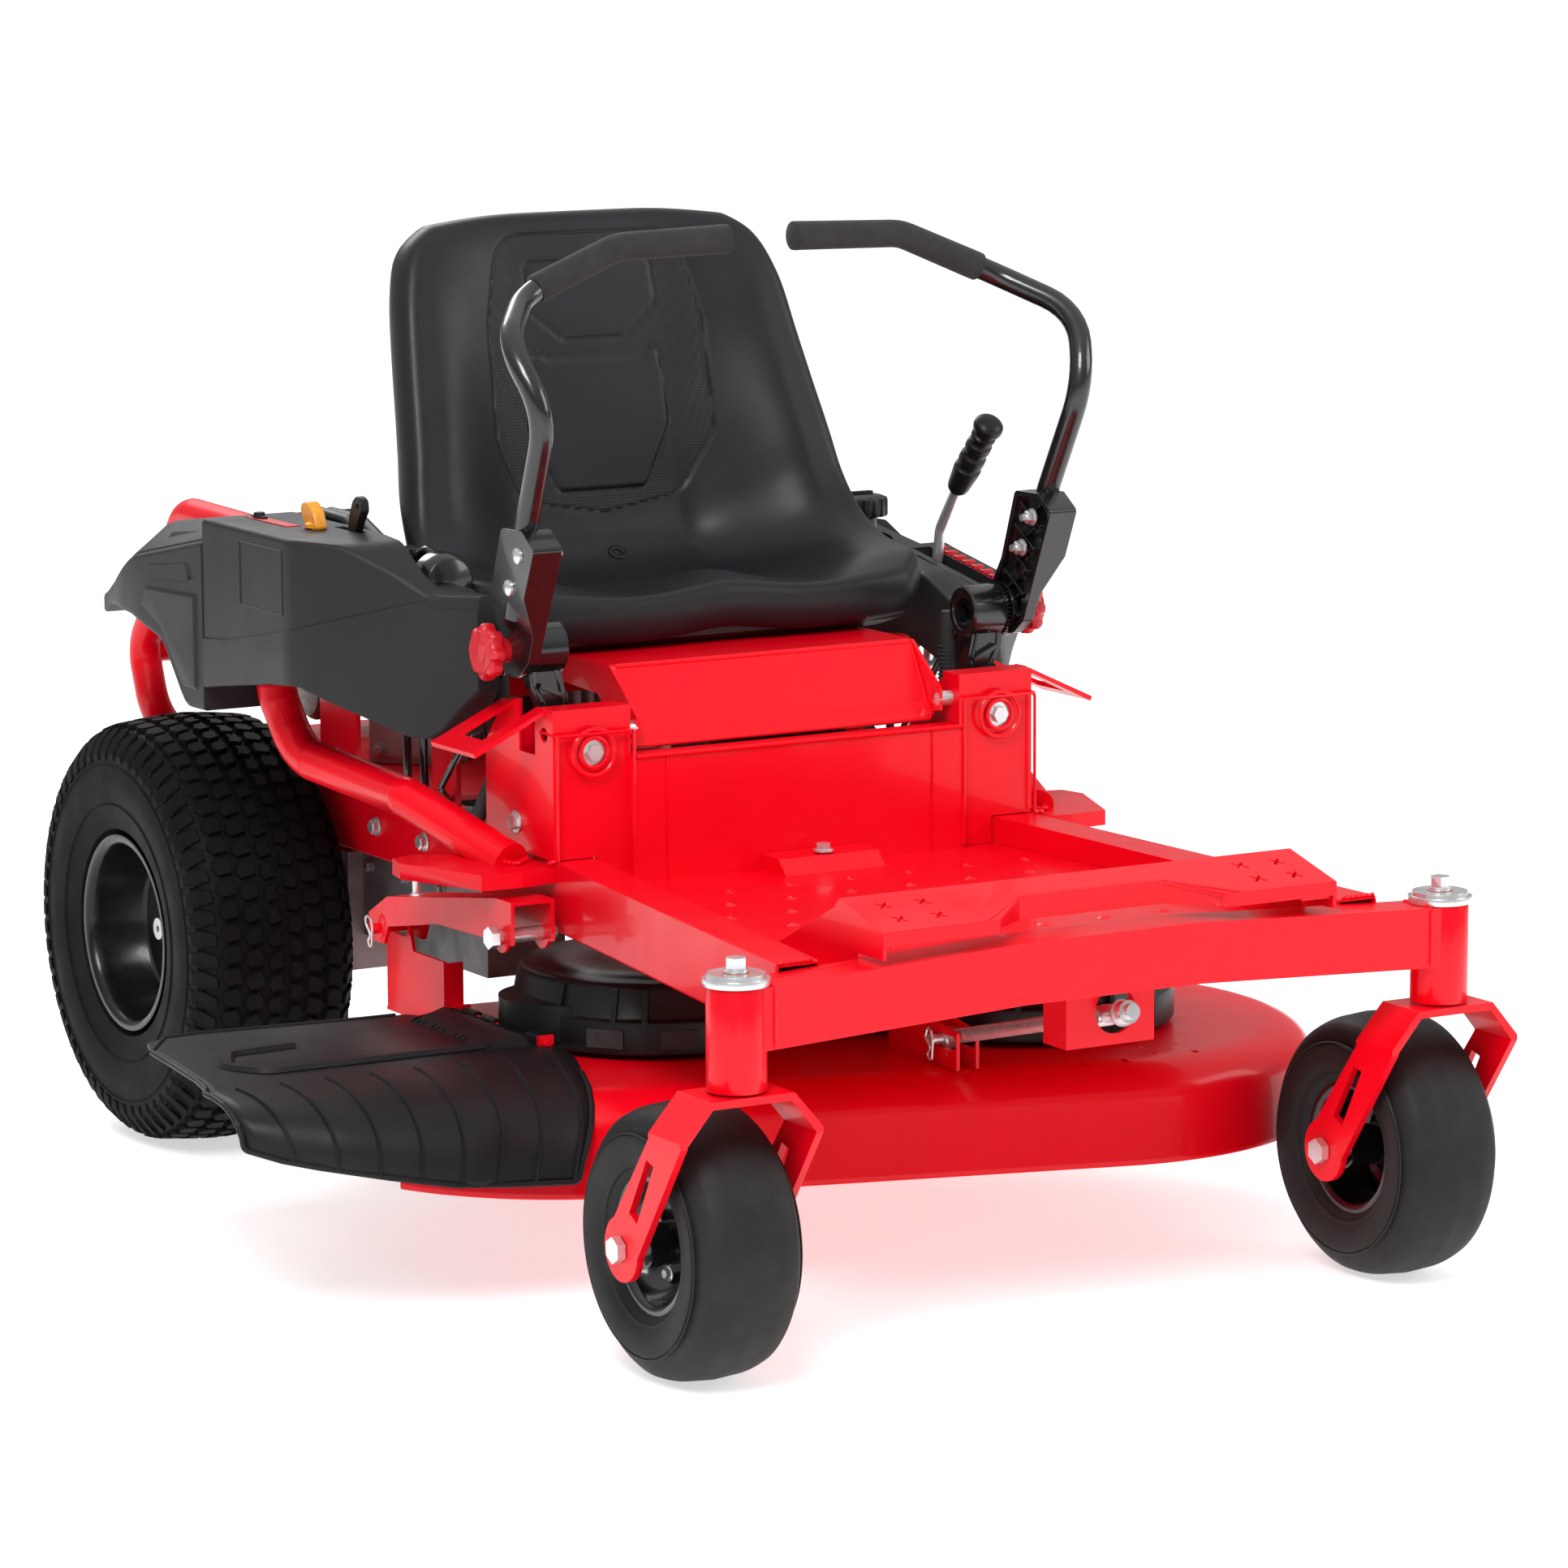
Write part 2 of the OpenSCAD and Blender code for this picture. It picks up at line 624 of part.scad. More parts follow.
module lap_bar(side) color(black) in_row_frame() on_side(side) {
  bracket = [[566, 772], [640, 786], [703, 652], [695, 634], [650, 626], [622, 640]];
  core = [[572, 769], [637, 781], [698, 653], [691, 638], [652, 631], [627, 643]];
  difference() {
    union() {
      plate_yz(bracket, 303, 313);
      bar_x(303, 313, hub_y, hub_z, 30);
    }
    bar_x(300, 320, hub_y, hub_z, 9 + run);
    difference() {
      plate_yz(core, 300, 309);
      for (k = [0 : 4]) plate_yz([[560, 640 + 34 * k], [562, 636 + 34 * k], [712, 674 + 34 * k],
        [710, 678 + 34 * k]], 300, 310);
      bar_x(300, 310, hub_y, hub_z, 16);
    }
  }
  bar_x(253, 303, hub_y, hub_z, 9);
  bent_tube(lever_path, lever_r, 32);
  // bolts through the flattened tube end
  for (p = [[601, 760], [622, 724]]) {
    bar_x(298, 342, p[0], p[1], 5);
    bar_x(338, 342, p[0], p[1], 10);
    bar_x(296, 303, p[0], p[1], 8);
  }
}

module lap_grip(side) color(charcoal) in_row_frame() on_side(side) {
  grip_end = lever_path[2] - unit(lever_path[2] - lever_path[1]) * 16;
  difference() {
    bent_tube([lever_path[0] - [6, 0, 0], lever_path[1], grip_end], grip_r, 32);
    bent_tube([lever_path[0], lever_path[1], lever_path[2]], lever_r + run, 32);
  }
}

module lever_knob(side) color(red) in_row_frame() on_side(side) difference() {
  union() {
    bar_x(330, 346, hub_y, hub_z, 24);
    for (a = [0 : 45 : 315]) bar_x(330, 346, hub_y + 22 * cos(a), hub_z + 22 * sin(a), 8);
    bar_x(313.5, 331, hub_y, hub_z, 13);
  }
  bar_x(300, 312, hub_y, hub_z, 5);
}

// ---------- seat ----------

module seat_base() color(red) in_row_frame() {
  top_z = 620;
  sheet = 4;
  // sloped front panel with a rolled top edge
  plate_yz([[628, 541], [632, 540], [676, 619], [700, 620], [700, 624], [673, 624]], -186, 186);
  difference() {
    union() {
      both_sides() plate_yz([[612, 552], [612, 576], [673, 624], [930, 624], [930, 600],
        [700, 590], [640, 548]], 188, 192);
      block([-192, 700, top_z], [192, 930, top_z + sheet]);
      both_sides() block([184, 629, 545], [192, 640, 560]);
    }
    bar_x(-200, 200, seat_hinge[0], seat_hinge[1], 8 + run);
    bar_x(-186, 186, seat_hinge[0], seat_hinge[1], 20);
  }
  both_sides() block([182, 673, 616], [192, 702, 624]);
}

// Closed solid of the upholstered bucket seat's outer size
module seat_cushion() color(charcoal) in_row_frame() {
  hull($fn = 24) both_sides() {
    translate([262, 838, 678]) sphere(r = 34);
    translate([240, 1010, 682]) sphere(r = 34);
    translate([190, 778, 668]) sphere(r = 34);
    translate([215, 800, 636]) cylinder(h = 8, r = 40);
    translate([200, 990, 636]) cylinder(h = 8, r = 40);
  }
  hull($fn = 24) both_sides() {
    translate([226, 1010, 700]) sphere(r = 30);
    translate([224, 1044, 930]) sphere(r = 30);
    translate([180, 1070, 1050]) sphere(r = 30);
    translate([90, 1073, 1067]) sphere(r = 30);
    translate([200, 1052, 720]) sphere(r = 30);
    translate([140, 1078, 960]) sphere(r = 40);
  }
}

// ---------- mowing deck ----------

left_spindle = [spindle_half_x, spindle_left_y];
right_spindle = [-spindle_half_x, spindle_right_y];
spindle_line = right_spindle - left_spindle;
across = [-spindle_line.y, spindle_line.x] / norm(spindle_line);

spindle_turn = atan2(across.y, across.x);

// Plan outline round both spindles at radius r, in steps of 6 degrees
function arc_round(centre, start, r) = [
  for (i = [0 : 30]) centre + r * [cos(start + 6 * i), sin(start + 6 * i)]];

module deck_plan(r) {
  polygon(concat(arc_round(left_spindle, spindle_turn, r),
    arc_round(right_spindle, spindle_turn + 180, r)));
}

module deck_solid(r, low, shoulder, high) {
  translate([0, 0, low]) linear_extrude(shoulder - low) deck_plan(r);
  hull() {
    translate([0, 0, shoulder - 0.1]) linear_extrude(0.1) deck_plan(r);
    translate([0, 0, shoulder + 14]) linear_extrude(0.1) deck_plan(r - 9);
    translate([0, 0, high - 0.1]) linear_extrude(0.1) deck_plan(r - 38);
  }
}

module at_spindles() {
  translate([left_spindle.x, left_spindle.y, 0]) children();
  translate([right_spindle.x, right_spindle.y, 0]) children();
}

module deck_shell() color(red) in_row_frame() {
  wall = 4;
  difference() {
    deck_solid(deck_r, deck_rim_z, 190, deck_top_z);
    deck_solid(deck_r - wall, deck_rim_z - 1, 187, deck_top_z - wall);
    block([-620, 530, 100], [-400, 835, 240]);
    at_spindles() translate([0, 0, 180]) cylinder(h = 80, r = 36);
  }
}

cover_centres = [[-147, 651], [225, 500]];

module spindle_covers() color(black) in_row_frame() difference() {
  union() for (c = cover_centres) translate([c.x, c.y, deck_top_z + 6.3]) difference() {
    union() {
      cylinder(h = 38, r = 166);
      translate([0, 0, 38]) cylinder(h = 37, r1 = 160, r2 = 150);
    }
    translate([0, 0, -1]) cylinder(h = 35, r = 162);
    translate([0, 0, 33]) cylinder(h = 38, r1 = 156, r2 = 146);
  }
  translate([0, 0, belt_z - 12]) linear_extrude(30) deck_plan(pulley_r + 9);
}

module deck_hangers() color(red) in_row_frame() {
  slot_half = 7.6;
  // spindle housings
  at_spindles() difference() {
    union() {
      translate([0, 0, 170]) cylinder(h = 60, r = 32);
      translate([0, 0, deck_top_z + 0.2]) cylinder(h = 6, r = 44);
    }
    translate([0, 0, 160]) cylinder(h = 80, r = 12.5 + run);
  }
  // rear hangers with a slot for each lift arm pin
  both_sides() difference() {
    union() {
      plate_yz([[772, deck_top_z + 0.2], [772, 298], [846, 298], [856, 331], [899, 331], [910, 298],
        [910, deck_top_z + 0.2]], 342, 346);
      block([322, 772, deck_top_z + 0.2], [346, 912, deck_top_z + 4]);
      block([322, 772, deck_top_z + 0.2], [346, 776, 296]);
    }
    block([338, lift_pin[0] - 21, lift_pin[1] - slot_half],
      [350, lift_pin[0], lift_pin[1] + slot_half]);
    for (y = [lift_pin[0] - 21, lift_pin[0]]) bar_x(338, 350, y, lift_pin[1], slot_half);
  }
  // left rear hanger stands on a bridge behind the left blade circle
  block([200, 772, deck_top_z + 0.2], [346, 800, deck_top_z + 4]);
  // front bracket with a slot for the link pin
  difference() {
    union() for (x = [link_x - 14, link_x + 10])
      plate_yz([[302, deck_top_z + 0.2], [302, 262], [360, 270], [440, 244],
        [440, deck_top_z + 0.2]], x, x + 4);
    block([0, link_pin[0] - 31, link_pin[1] - slot_half], [60, link_pin[0], link_pin[1] + slot_half]);
    for (y = [link_pin[0] - 31, link_pin[0]]) bar_x(0, 60, y, link_pin[1], slot_half);
  }
  block([link_x - 14, 372, deck_top_z + 0.2], [link_x + 14, 440, deck_top_z + 4]);
  // hinge posts and pin for the deflector
  for (y = [575, 767]) block([-hinge_x - 9, y, deck_top_z + 0.2], [-hinge_x + 9, y + 5, hinge_z + 9]);
  bar_y(570, 773, -hinge_x, hinge_z, 4);
}

module drive_belt() color(black) in_row_frame()
  translate([0, 0, belt_z - 5]) linear_extrude(10) difference() {
    deck_plan(pulley_r + 5);
    deck_plan(pulley_r - 1.7);
  }

chute_reach = 160;
chute_drop = 100;
chute_fold_y = 535;
chute_steps = 12;

// Curved front wall of the deflector, inset by r
function chute_curve(r) = [
  for (i = [0 : chute_steps]) let (t = 90 * i / chute_steps)
    [
      chute_fold_y - (chute_reach - r) * pow(sin(t), 0.77),
      hinge_z - chute_drop + (chute_drop - r) * pow(cos(t), 0.77)
    ]];

module deflector() color(charcoal) in_row_frame() {
  sheet = 4;
  steps = chute_steps;
  outer = chute_curve(0);
  inner = chute_curve(sheet);
  section = concat([[830, hinge_z]], outer, [for (i = [steps : -1 : 0]) inner[i]],
    [[830, hinge_z - sheet]]);
  difference() {
    intersection() {
      plate_yz(section, -deflector_reach, -hinge_x + 4);
      plate_xy([[-hinge_x + 4, 764], [-366, 764], [-374, 797], [-645, 824], [-690, 800], [-708, 722], [-732, 619],
        [-deflector_reach, 539], [-deflector_reach, 340], [-412, 340], [-412, 465],
        [-hinge_x + 4, 478]], 100, 300);
      plate_xz([[-hinge_x + 4, 140], [-420, 140], [-deflector_reach, 188], [-deflector_reach, 300],
        [-hinge_x + 4, 300]], 300, 900);
    }
    block([-hinge_x - 14, 574, 200], [-hinge_x + 14, 581, 280]);
    bar_y(500, 900, -hinge_x, hinge_z, 4 + run);
  }
  // hinge knuckles and gussets
  for (y = [584, 636, 688, 733]) {
    difference() {
      union() {
        bar_y(y, y + 30, -hinge_x, hinge_z, 7.5);
        plate_xz([[-hinge_x, hinge_z - 4], [-hinge_x, hinge_z + 8], [-hinge_x - 40, hinge_z],
          [-hinge_x - 40, hinge_z - 4]], y + 12, y + 18);
      }
      bar_y(500, 900, -hinge_x, hinge_z, 4 + run);
    }
  }
  // ribs down the front wall
  for (x = [420 : 44 : 684]) intersection() {
    plate_yz(concat([for (i = [0 : steps]) outer[i] + [-2.5, 2.5]], [for (i = [steps : -1 : 0]) outer[i]]),
      -x - 3, -x);
    plate_xz([[-400, 142], [-420, 142], [-deflector_reach, 190], [-deflector_reach, 300], [-400, 300]],
      300, 900);
  }
}

module blade(centre, angle) color("#8a8d91") in_row_frame()
  translate([centre.x, centre.y, blade_z]) rotate(angle) difference() {
    intersection() {
      translate([-blade_l / 2, -28, 0]) cube([blade_l, 56, 18]);
      union() {
        translate([-blade_l / 2, -28, 0]) cube([blade_l, 56, 5]);
        for (turn = [0, 180]) rotate(turn) translate([150, 0, 0])
          rotate([90, 0, 90]) linear_extrude(blade_l / 2 - 150)
            polygon([[10, 0], [28, 12], [28, 17], [8, 5]]);
      }
      cylinder(h = 18, r = blade_l / 2);
    }
    translate([0, 0, -1]) cylinder(h = 8, r = 8);
  }

module spindle(centre) color(zinc) in_row_frame() translate([centre.x, centre.y, 0]) {
  translate([0, 0, blade_z + 5.2]) cylinder(h = belt_z - blade_z + 6, r = 12.5);
  translate([0, 0, blade_z + 5.2]) cylinder(h = 12, r = 24);
  translate([0, 0, blade_z - 9]) cylinder(h = 15, r = 7.8);
  translate([0, 0, blade_z - 9]) hex_head(24, 8.8);
  translate([0, 0, belt_z - 7]) difference() {
    cylinder(h = 14, r = pulley_r + 4);
    translate([0, 0, 2]) difference() {
      cylinder(h = 10, r = pulley_r + 8);
      translate([0, 0, -1]) cylinder(h = 12, r = pulley_r - 2);
    }
  }
}

// ---------- lift linkage ----------

module lift_arms() color(red) in_row_frame() both_sides() difference() {
  union() {
    // channel open underneath, sloping down to the rear pin
    difference() {
      plate_yz([[566, 352], [566, 398], [600, 398], [860, 359], [905, 335], [905, 305], [868, 305],
        [858, 326], [776, 341], [740, 348], [600, 352]], 318, 370);
      plate_yz([[560, 330], [560, 394], [600, 394], [860, 355], [915, 331], [915, 290], [560, 290]],
        322, 366);
    }
    bar_x(318, 322, lift_pivot[0], lift_pivot[1], 17);
    bar_x(366, 370, lift_pivot[0], lift_pivot[1], 17);
    bar_x(312, 376, lift_pin[0], lift_pin[1], 6);
  }
  bar_x(310, 380, lift_pivot[0], lift_pivot[1], 8 + run);
}

module lift_link() color(zinc) in_row_frame() {
  from = [link_x, link_pivot[0], link_pivot[1]];
  to = [link_x, link_pin[0], link_pin[1]];
  along = unit(to - from);
  rod(from - along * 60, to, 8);
  rod(from - along * 40, from - along * 37, 14);
  rod(from - along * 52, from - along * 40, 12);
  bar_x(link_x - 9, link_x + 9, link_pin[0], link_pin[1], 12);
  bar_x(link_x - 11, link_x + 11, link_pivot[0], link_pivot[1], 11);
  bar_x(link_x - 22, link_x + 22, link_pin[0], link_pin[1], 6);
}

module lift_lever() color(zinc) in_row_frame() {
  pivot = [lift_lever_x, lift_lever_pivot[0], lift_lever_pivot[1]];
  knee = pivot + [0, -67, 218];
  top = pivot + [0, -137, 298];
  difference() {
    union() {
      bent_tube([pivot, pivot + [0, -30, 168], knee], 6.5, 30);
      bar_x(lift_lever_x - 12, lift_lever_x + 12, lift_lever_pivot[0], lift_lever_pivot[1], 14);
      color(black) rod(knee, top, 16);
    }
    bar_x(lift_lever_x - 20, lift_lever_x + 20, lift_lever_pivot[0], lift_lever_pivot[1], 8 + run);
  }
}

module clutch_pulley() color(black) in_row_frame() translate([0, clutch_y, 0]) {
  translate([0, 0, 366]) cylinder(h = 60, r = 12.7);
  difference() {
    translate([0, 0, 340]) cylinder(h = 44, r = 56);
    translate([0, 0, 346]) difference() {
      cylinder(h = 12, r = 60);
      translate([0, 0, -1]) cylinder(h = 14, r = 46);
    }
  }
}

// ---------- small controls ----------

module pto_knob() color("#f2a81d") in_row_frame() translate([-400, 960, 0]) {
  translate([0, 0, 725]) cylinder(h = 40, r = 6);
  translate([0, 0, 758]) cylinder(h = 7, r1 = 9, r2 = 17);
  translate([0, 0, 765]) cylinder(h = 9, r = 18);
}

module throttle_lever() color(black) in_row_frame() {
  bar_x(-381, -361, 925, 742, 5);
  rod([-371, 925, 742], [-371, 912, 772], 4);
  rod([-371, 914, 768], [-371, 905, 786], 9);
}

module fuel_cap() color(black) in_row_frame() translate(cap_at) difference() {
  union() {
    translate([0, 0, -8]) cylinder(h = 24, r = 36);
    for (a = [0 : 20 : 340]) rotate(a) translate([36, 0, -8]) cylinder(h = 22, r = 3.4);
  }
  translate([0, 0, -12]) cylinder(h = 14, r = 31.3);
}

front_beam();
caster_bushings();
side_rails();
foot_plate();
floor_pan();
towers();
side_guards();
console_right();
console_left();
fenders();
rear_frame();
engine_guard();
engine_block();
engine_shroud();
muffler();
air_cleaner();
hydro_drives();
fuel_tank();
battery();
frame_bolts();
caster_fork("left");  // caster_fork_left
caster_fork("right");  // caster_fork_right
caster_hardware("left");  // caster_hardware_left
caster_hardware("right");  // caster_hardware_right
caster_tire("left");  // caster_tire_left
caster_tire("right");  // caster_tire_right
caster_rim("left");  // caster_rim_left
caster_rim("right");  // caster_rim_right
rear_tire("left");  // rear_tire_left
rear_tire("right");  // rear_tire_right
rear_rim("left");  // rear_rim_left
rear_rim("right");  // rear_rim_right
rear_axle("left");  // rear_axle_left
rear_axle("right");  // rear_axle_right
lever_stand("left");  // lever_stand_left
lever_stand("right");  // lever_stand_right
lap_bar("left");  // lap_bar_left
lap_bar("right");  // lap_bar_right
lap_grip("left");  // lap_grip_left
lap_grip("right");  // lap_grip_right
lever_knob("left");  // lever_knob_left
lever_knob("right");  // lever_knob_right
seat_base();
seat_cushion();
deck_shell();
spindle_covers();
deck_hangers();
drive_belt();
deflector();
blade(left_spindle, 20);  // blade_left
blade(right_spindle, 110);  // blade_right
spindle(left_spindle);  // spindle_left
spindle(right_spindle);  // spindle_right
lift_arms();
lift_link();
lift_lever();
clutch_pulley();
pto_knob();
throttle_lever();
fuel_cap();
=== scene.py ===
"""Looks of a zero-turn riding lawn mower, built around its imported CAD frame."""

import json
import math

import bmesh
import bpy
from mathutils import Matrix, Vector


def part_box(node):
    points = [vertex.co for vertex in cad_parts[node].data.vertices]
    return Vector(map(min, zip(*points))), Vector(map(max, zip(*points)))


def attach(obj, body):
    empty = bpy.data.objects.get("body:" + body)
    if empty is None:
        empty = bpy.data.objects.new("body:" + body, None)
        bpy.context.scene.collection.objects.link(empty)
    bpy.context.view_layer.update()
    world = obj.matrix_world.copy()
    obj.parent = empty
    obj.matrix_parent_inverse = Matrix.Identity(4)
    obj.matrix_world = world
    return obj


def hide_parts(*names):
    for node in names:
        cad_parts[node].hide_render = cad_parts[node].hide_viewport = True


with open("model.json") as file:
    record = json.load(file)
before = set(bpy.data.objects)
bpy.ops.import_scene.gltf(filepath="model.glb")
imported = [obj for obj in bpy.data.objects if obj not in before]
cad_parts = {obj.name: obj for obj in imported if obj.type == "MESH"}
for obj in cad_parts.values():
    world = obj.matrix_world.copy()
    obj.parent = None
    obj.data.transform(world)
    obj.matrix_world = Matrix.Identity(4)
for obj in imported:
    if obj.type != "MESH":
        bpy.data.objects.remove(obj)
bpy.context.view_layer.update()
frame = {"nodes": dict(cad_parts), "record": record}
NODES = frame["nodes"]

# Mower coordinates: millimetres, x from the centre plane (+x is the operator's left),
# y from the line through the caster posts (+y towards the engine), z up from the ground.
_low, _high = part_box("caster_bushings")
ORIGIN = (_low + _high) / 2
ORIGIN.z = 0
MM = 0.001

FRONT_WHEEL = (420, 92, 139.7)
REAR_WHEEL = (376, 1351, 249.3)
LEVER_HUB = (672, 650)  # y and z of the lap bars' cross axis
ENGINE = (0, 1380, 0)
SIDES = ("left", "right")


def place(p):
    return ORIGIN + Vector(p) * MM


# ---------------------------------------------------------------- materials


class Nodes:
    """A material's node tree with short helpers."""

    def __init__(self, name, base, rough, metallic=0.0, coat=0.0, coat_rough=0.1, sheen=0.0, specular=0.5):
        self.material = bpy.data.materials.new(name)
        self.material.use_nodes = True
        self.tree = self.material.node_tree
        self.tree.nodes.clear()
        self.shader = self.node("ShaderNodeBsdfPrincipled", {
            "Base Color": (*base, 1), "Roughness": rough, "Metallic": metallic, "Coat Weight": coat,
            "Coat Roughness": coat_rough, "Sheen Weight": sheen, "Specular IOR Level": specular,
        })
        self.link(self.shader, "BSDF", self.node("ShaderNodeOutputMaterial"), "Surface")
        self.coords = self.node("ShaderNodeTexCoord")
        self.base = base
        self.normal = None

    def node(self, kind, inputs=None, **values):
        made = self.tree.nodes.new(kind)
        for key, value in values.items():
            setattr(made, key, value)
        for key, value in (inputs or {}).items():
            made.inputs[key].default_value = value
        return made

    def link(self, a, output, b, socket):
        self.tree.links.new(a.outputs[output], b.inputs[socket])

    def noise(self, scale, detail, rough, stretch=None):
        tex = self.node("ShaderNodeTexNoise", {"Scale": scale, "Detail": detail, "Roughness": rough})
        source, output = self.coords, "Object"
        if stretch:
            source, output = self.node("ShaderNodeMapping", {"Scale": stretch}), "Vector"
            self.link(self.coords, "Object", source, "Vector")
        self.link(source, output, tex, "Vector")
        return tex

    def span(self, noise, low, high, low_in=0.3, high_in=0.7):
        """Maps a noise from low_in..high_in to low..high."""
        made = self.node("ShaderNodeMapRange", {
            "From Min": low_in, "From Max": high_in, "To Min": low, "To Max": high,
        })
        self.link(noise, "Fac", made, "Value")
        return made

    def vary_rough(self, scale, low, high, stretch=None):
        patches = self.span(self.noise(scale, 4.0, 0.6, stretch), low, high)
        self.link(patches, "Result", self.shader, "Roughness")
        return self

    def vary_color(self, scale, other):
        ramp = self.node("ShaderNodeValToRGB")
        for element, at, color in zip(ramp.color_ramp.elements, (0.28, 0.72), (self.base, other)):
            element.position = at
            element.color = (*color, 1)
        self.link(self.noise(scale, 3.0, 0.5), "Fac", ramp, "Fac")
        self.link(ramp, "Color", self.shader, "Base Color")
        return self

    def bump(self, source, output, strength, distance):
        """Adds to the bumps made so far."""
        made = self.node("ShaderNodeBump", {"Strength": strength, "Distance": distance})
        self.link(source, output, made, "Height")
        if self.normal:
            self.tree.links.new(self.normal, made.inputs["Normal"])
        self.normal = made.outputs["Normal"]
        self.tree.links.new(self.normal, self.shader.inputs["Normal"])

    def grain(self, scale, strength, distance, stretch=None):
        self.bump(self.noise(scale, 2.0, 0.5, stretch), "Fac", strength, distance)

    def cells(self, scale, strength, distance, feature="DISTANCE_TO_EDGE", randomness=1.0):
        tex = self.node("ShaderNodeTexVoronoi", {"Scale": scale, "Randomness": randomness}, feature=feature)
        self.link(self.coords, "Object", tex, "Vector")
        self.bump(tex, "Distance", strength, distance)

    def worn(self, color, share, scale):
        """Mixes color in patches up to that share, for dust and rubbed places."""
        mix = self.node("ShaderNodeMix", data_type="RGBA")
        patches = self.span(self.noise(scale, 5.0, 0.65), 0.0, share, 0.42, 0.72)
        self.link(patches, "Result", mix, 0)
        source = self.shader.inputs["Base Color"]
        self.tree.links.new(source.links[0].from_socket, mix.inputs[6])
        mix.inputs[7].default_value = (*color, 1)
        self.tree.links.new(mix.outputs[2], source)


def finish(name, base, rough, tint, gloss, *bumps, dust=None, **shader):
    """A material: its colour drifts by tint, its roughness by gloss, then come dust and bumps."""
    n = Nodes(name, base, rough, **shader)
    n.vary_color(*tint).vary_rough(*gloss)
    if dust:
        n.worn(*dust)
    for kind, *values in bumps:
        getattr(n, kind)(*values)
    return n.material


def gloss_black(name, specular, coat):
    return finish(name, (0.004, 0.004, 0.0045), 0.22, (14.0, (0.006, 0.006, 0.0065)), (30.0, 0.18, 0.32),
                  ("grain", 500.0, 0.05, 0.0005), specular=specular, coat=coat, coat_rough=0.06)


def vinyl(name, base, rough, gloss, *bumps):
    return finish(name, base, rough, (11.0, (0.012, 0.0123, 0.0145)), gloss, *bumps, specular=0.32)


def tyre_rubber(name, base, specular):
    def shade(red, green, blue):
        return (base * red, base * green, base * blue)

    return finish(name, shade(1, 1, 1.05), 0.6, (12.0, shade(1.7, 1.7, 1.73)), (20.0, 0.54, 0.66),
                  ("grain", 700.0, 0.16, 0.0006), ("grain", 90.0, 0.08, 0.0015),
                  dust=(shade(3.6, 3.5, 3.4), 0.3, 34.0), specular=specular)


def steel(name, base, low, high):
    return finish(name, base, low, (30.0, tuple(c * 0.72 for c in base)), (70.0, low, high, (1, 1, 6)),
                  ("grain", 350.0, 0.1, 0.0005), metallic=1.0)


def knob(name, base, other):
    return finish(name, base, 0.4, (40.0, other), (40.0, 0.34, 0.48), ("grain", 900.0, 0.1, 0.0003), coat=0.15)


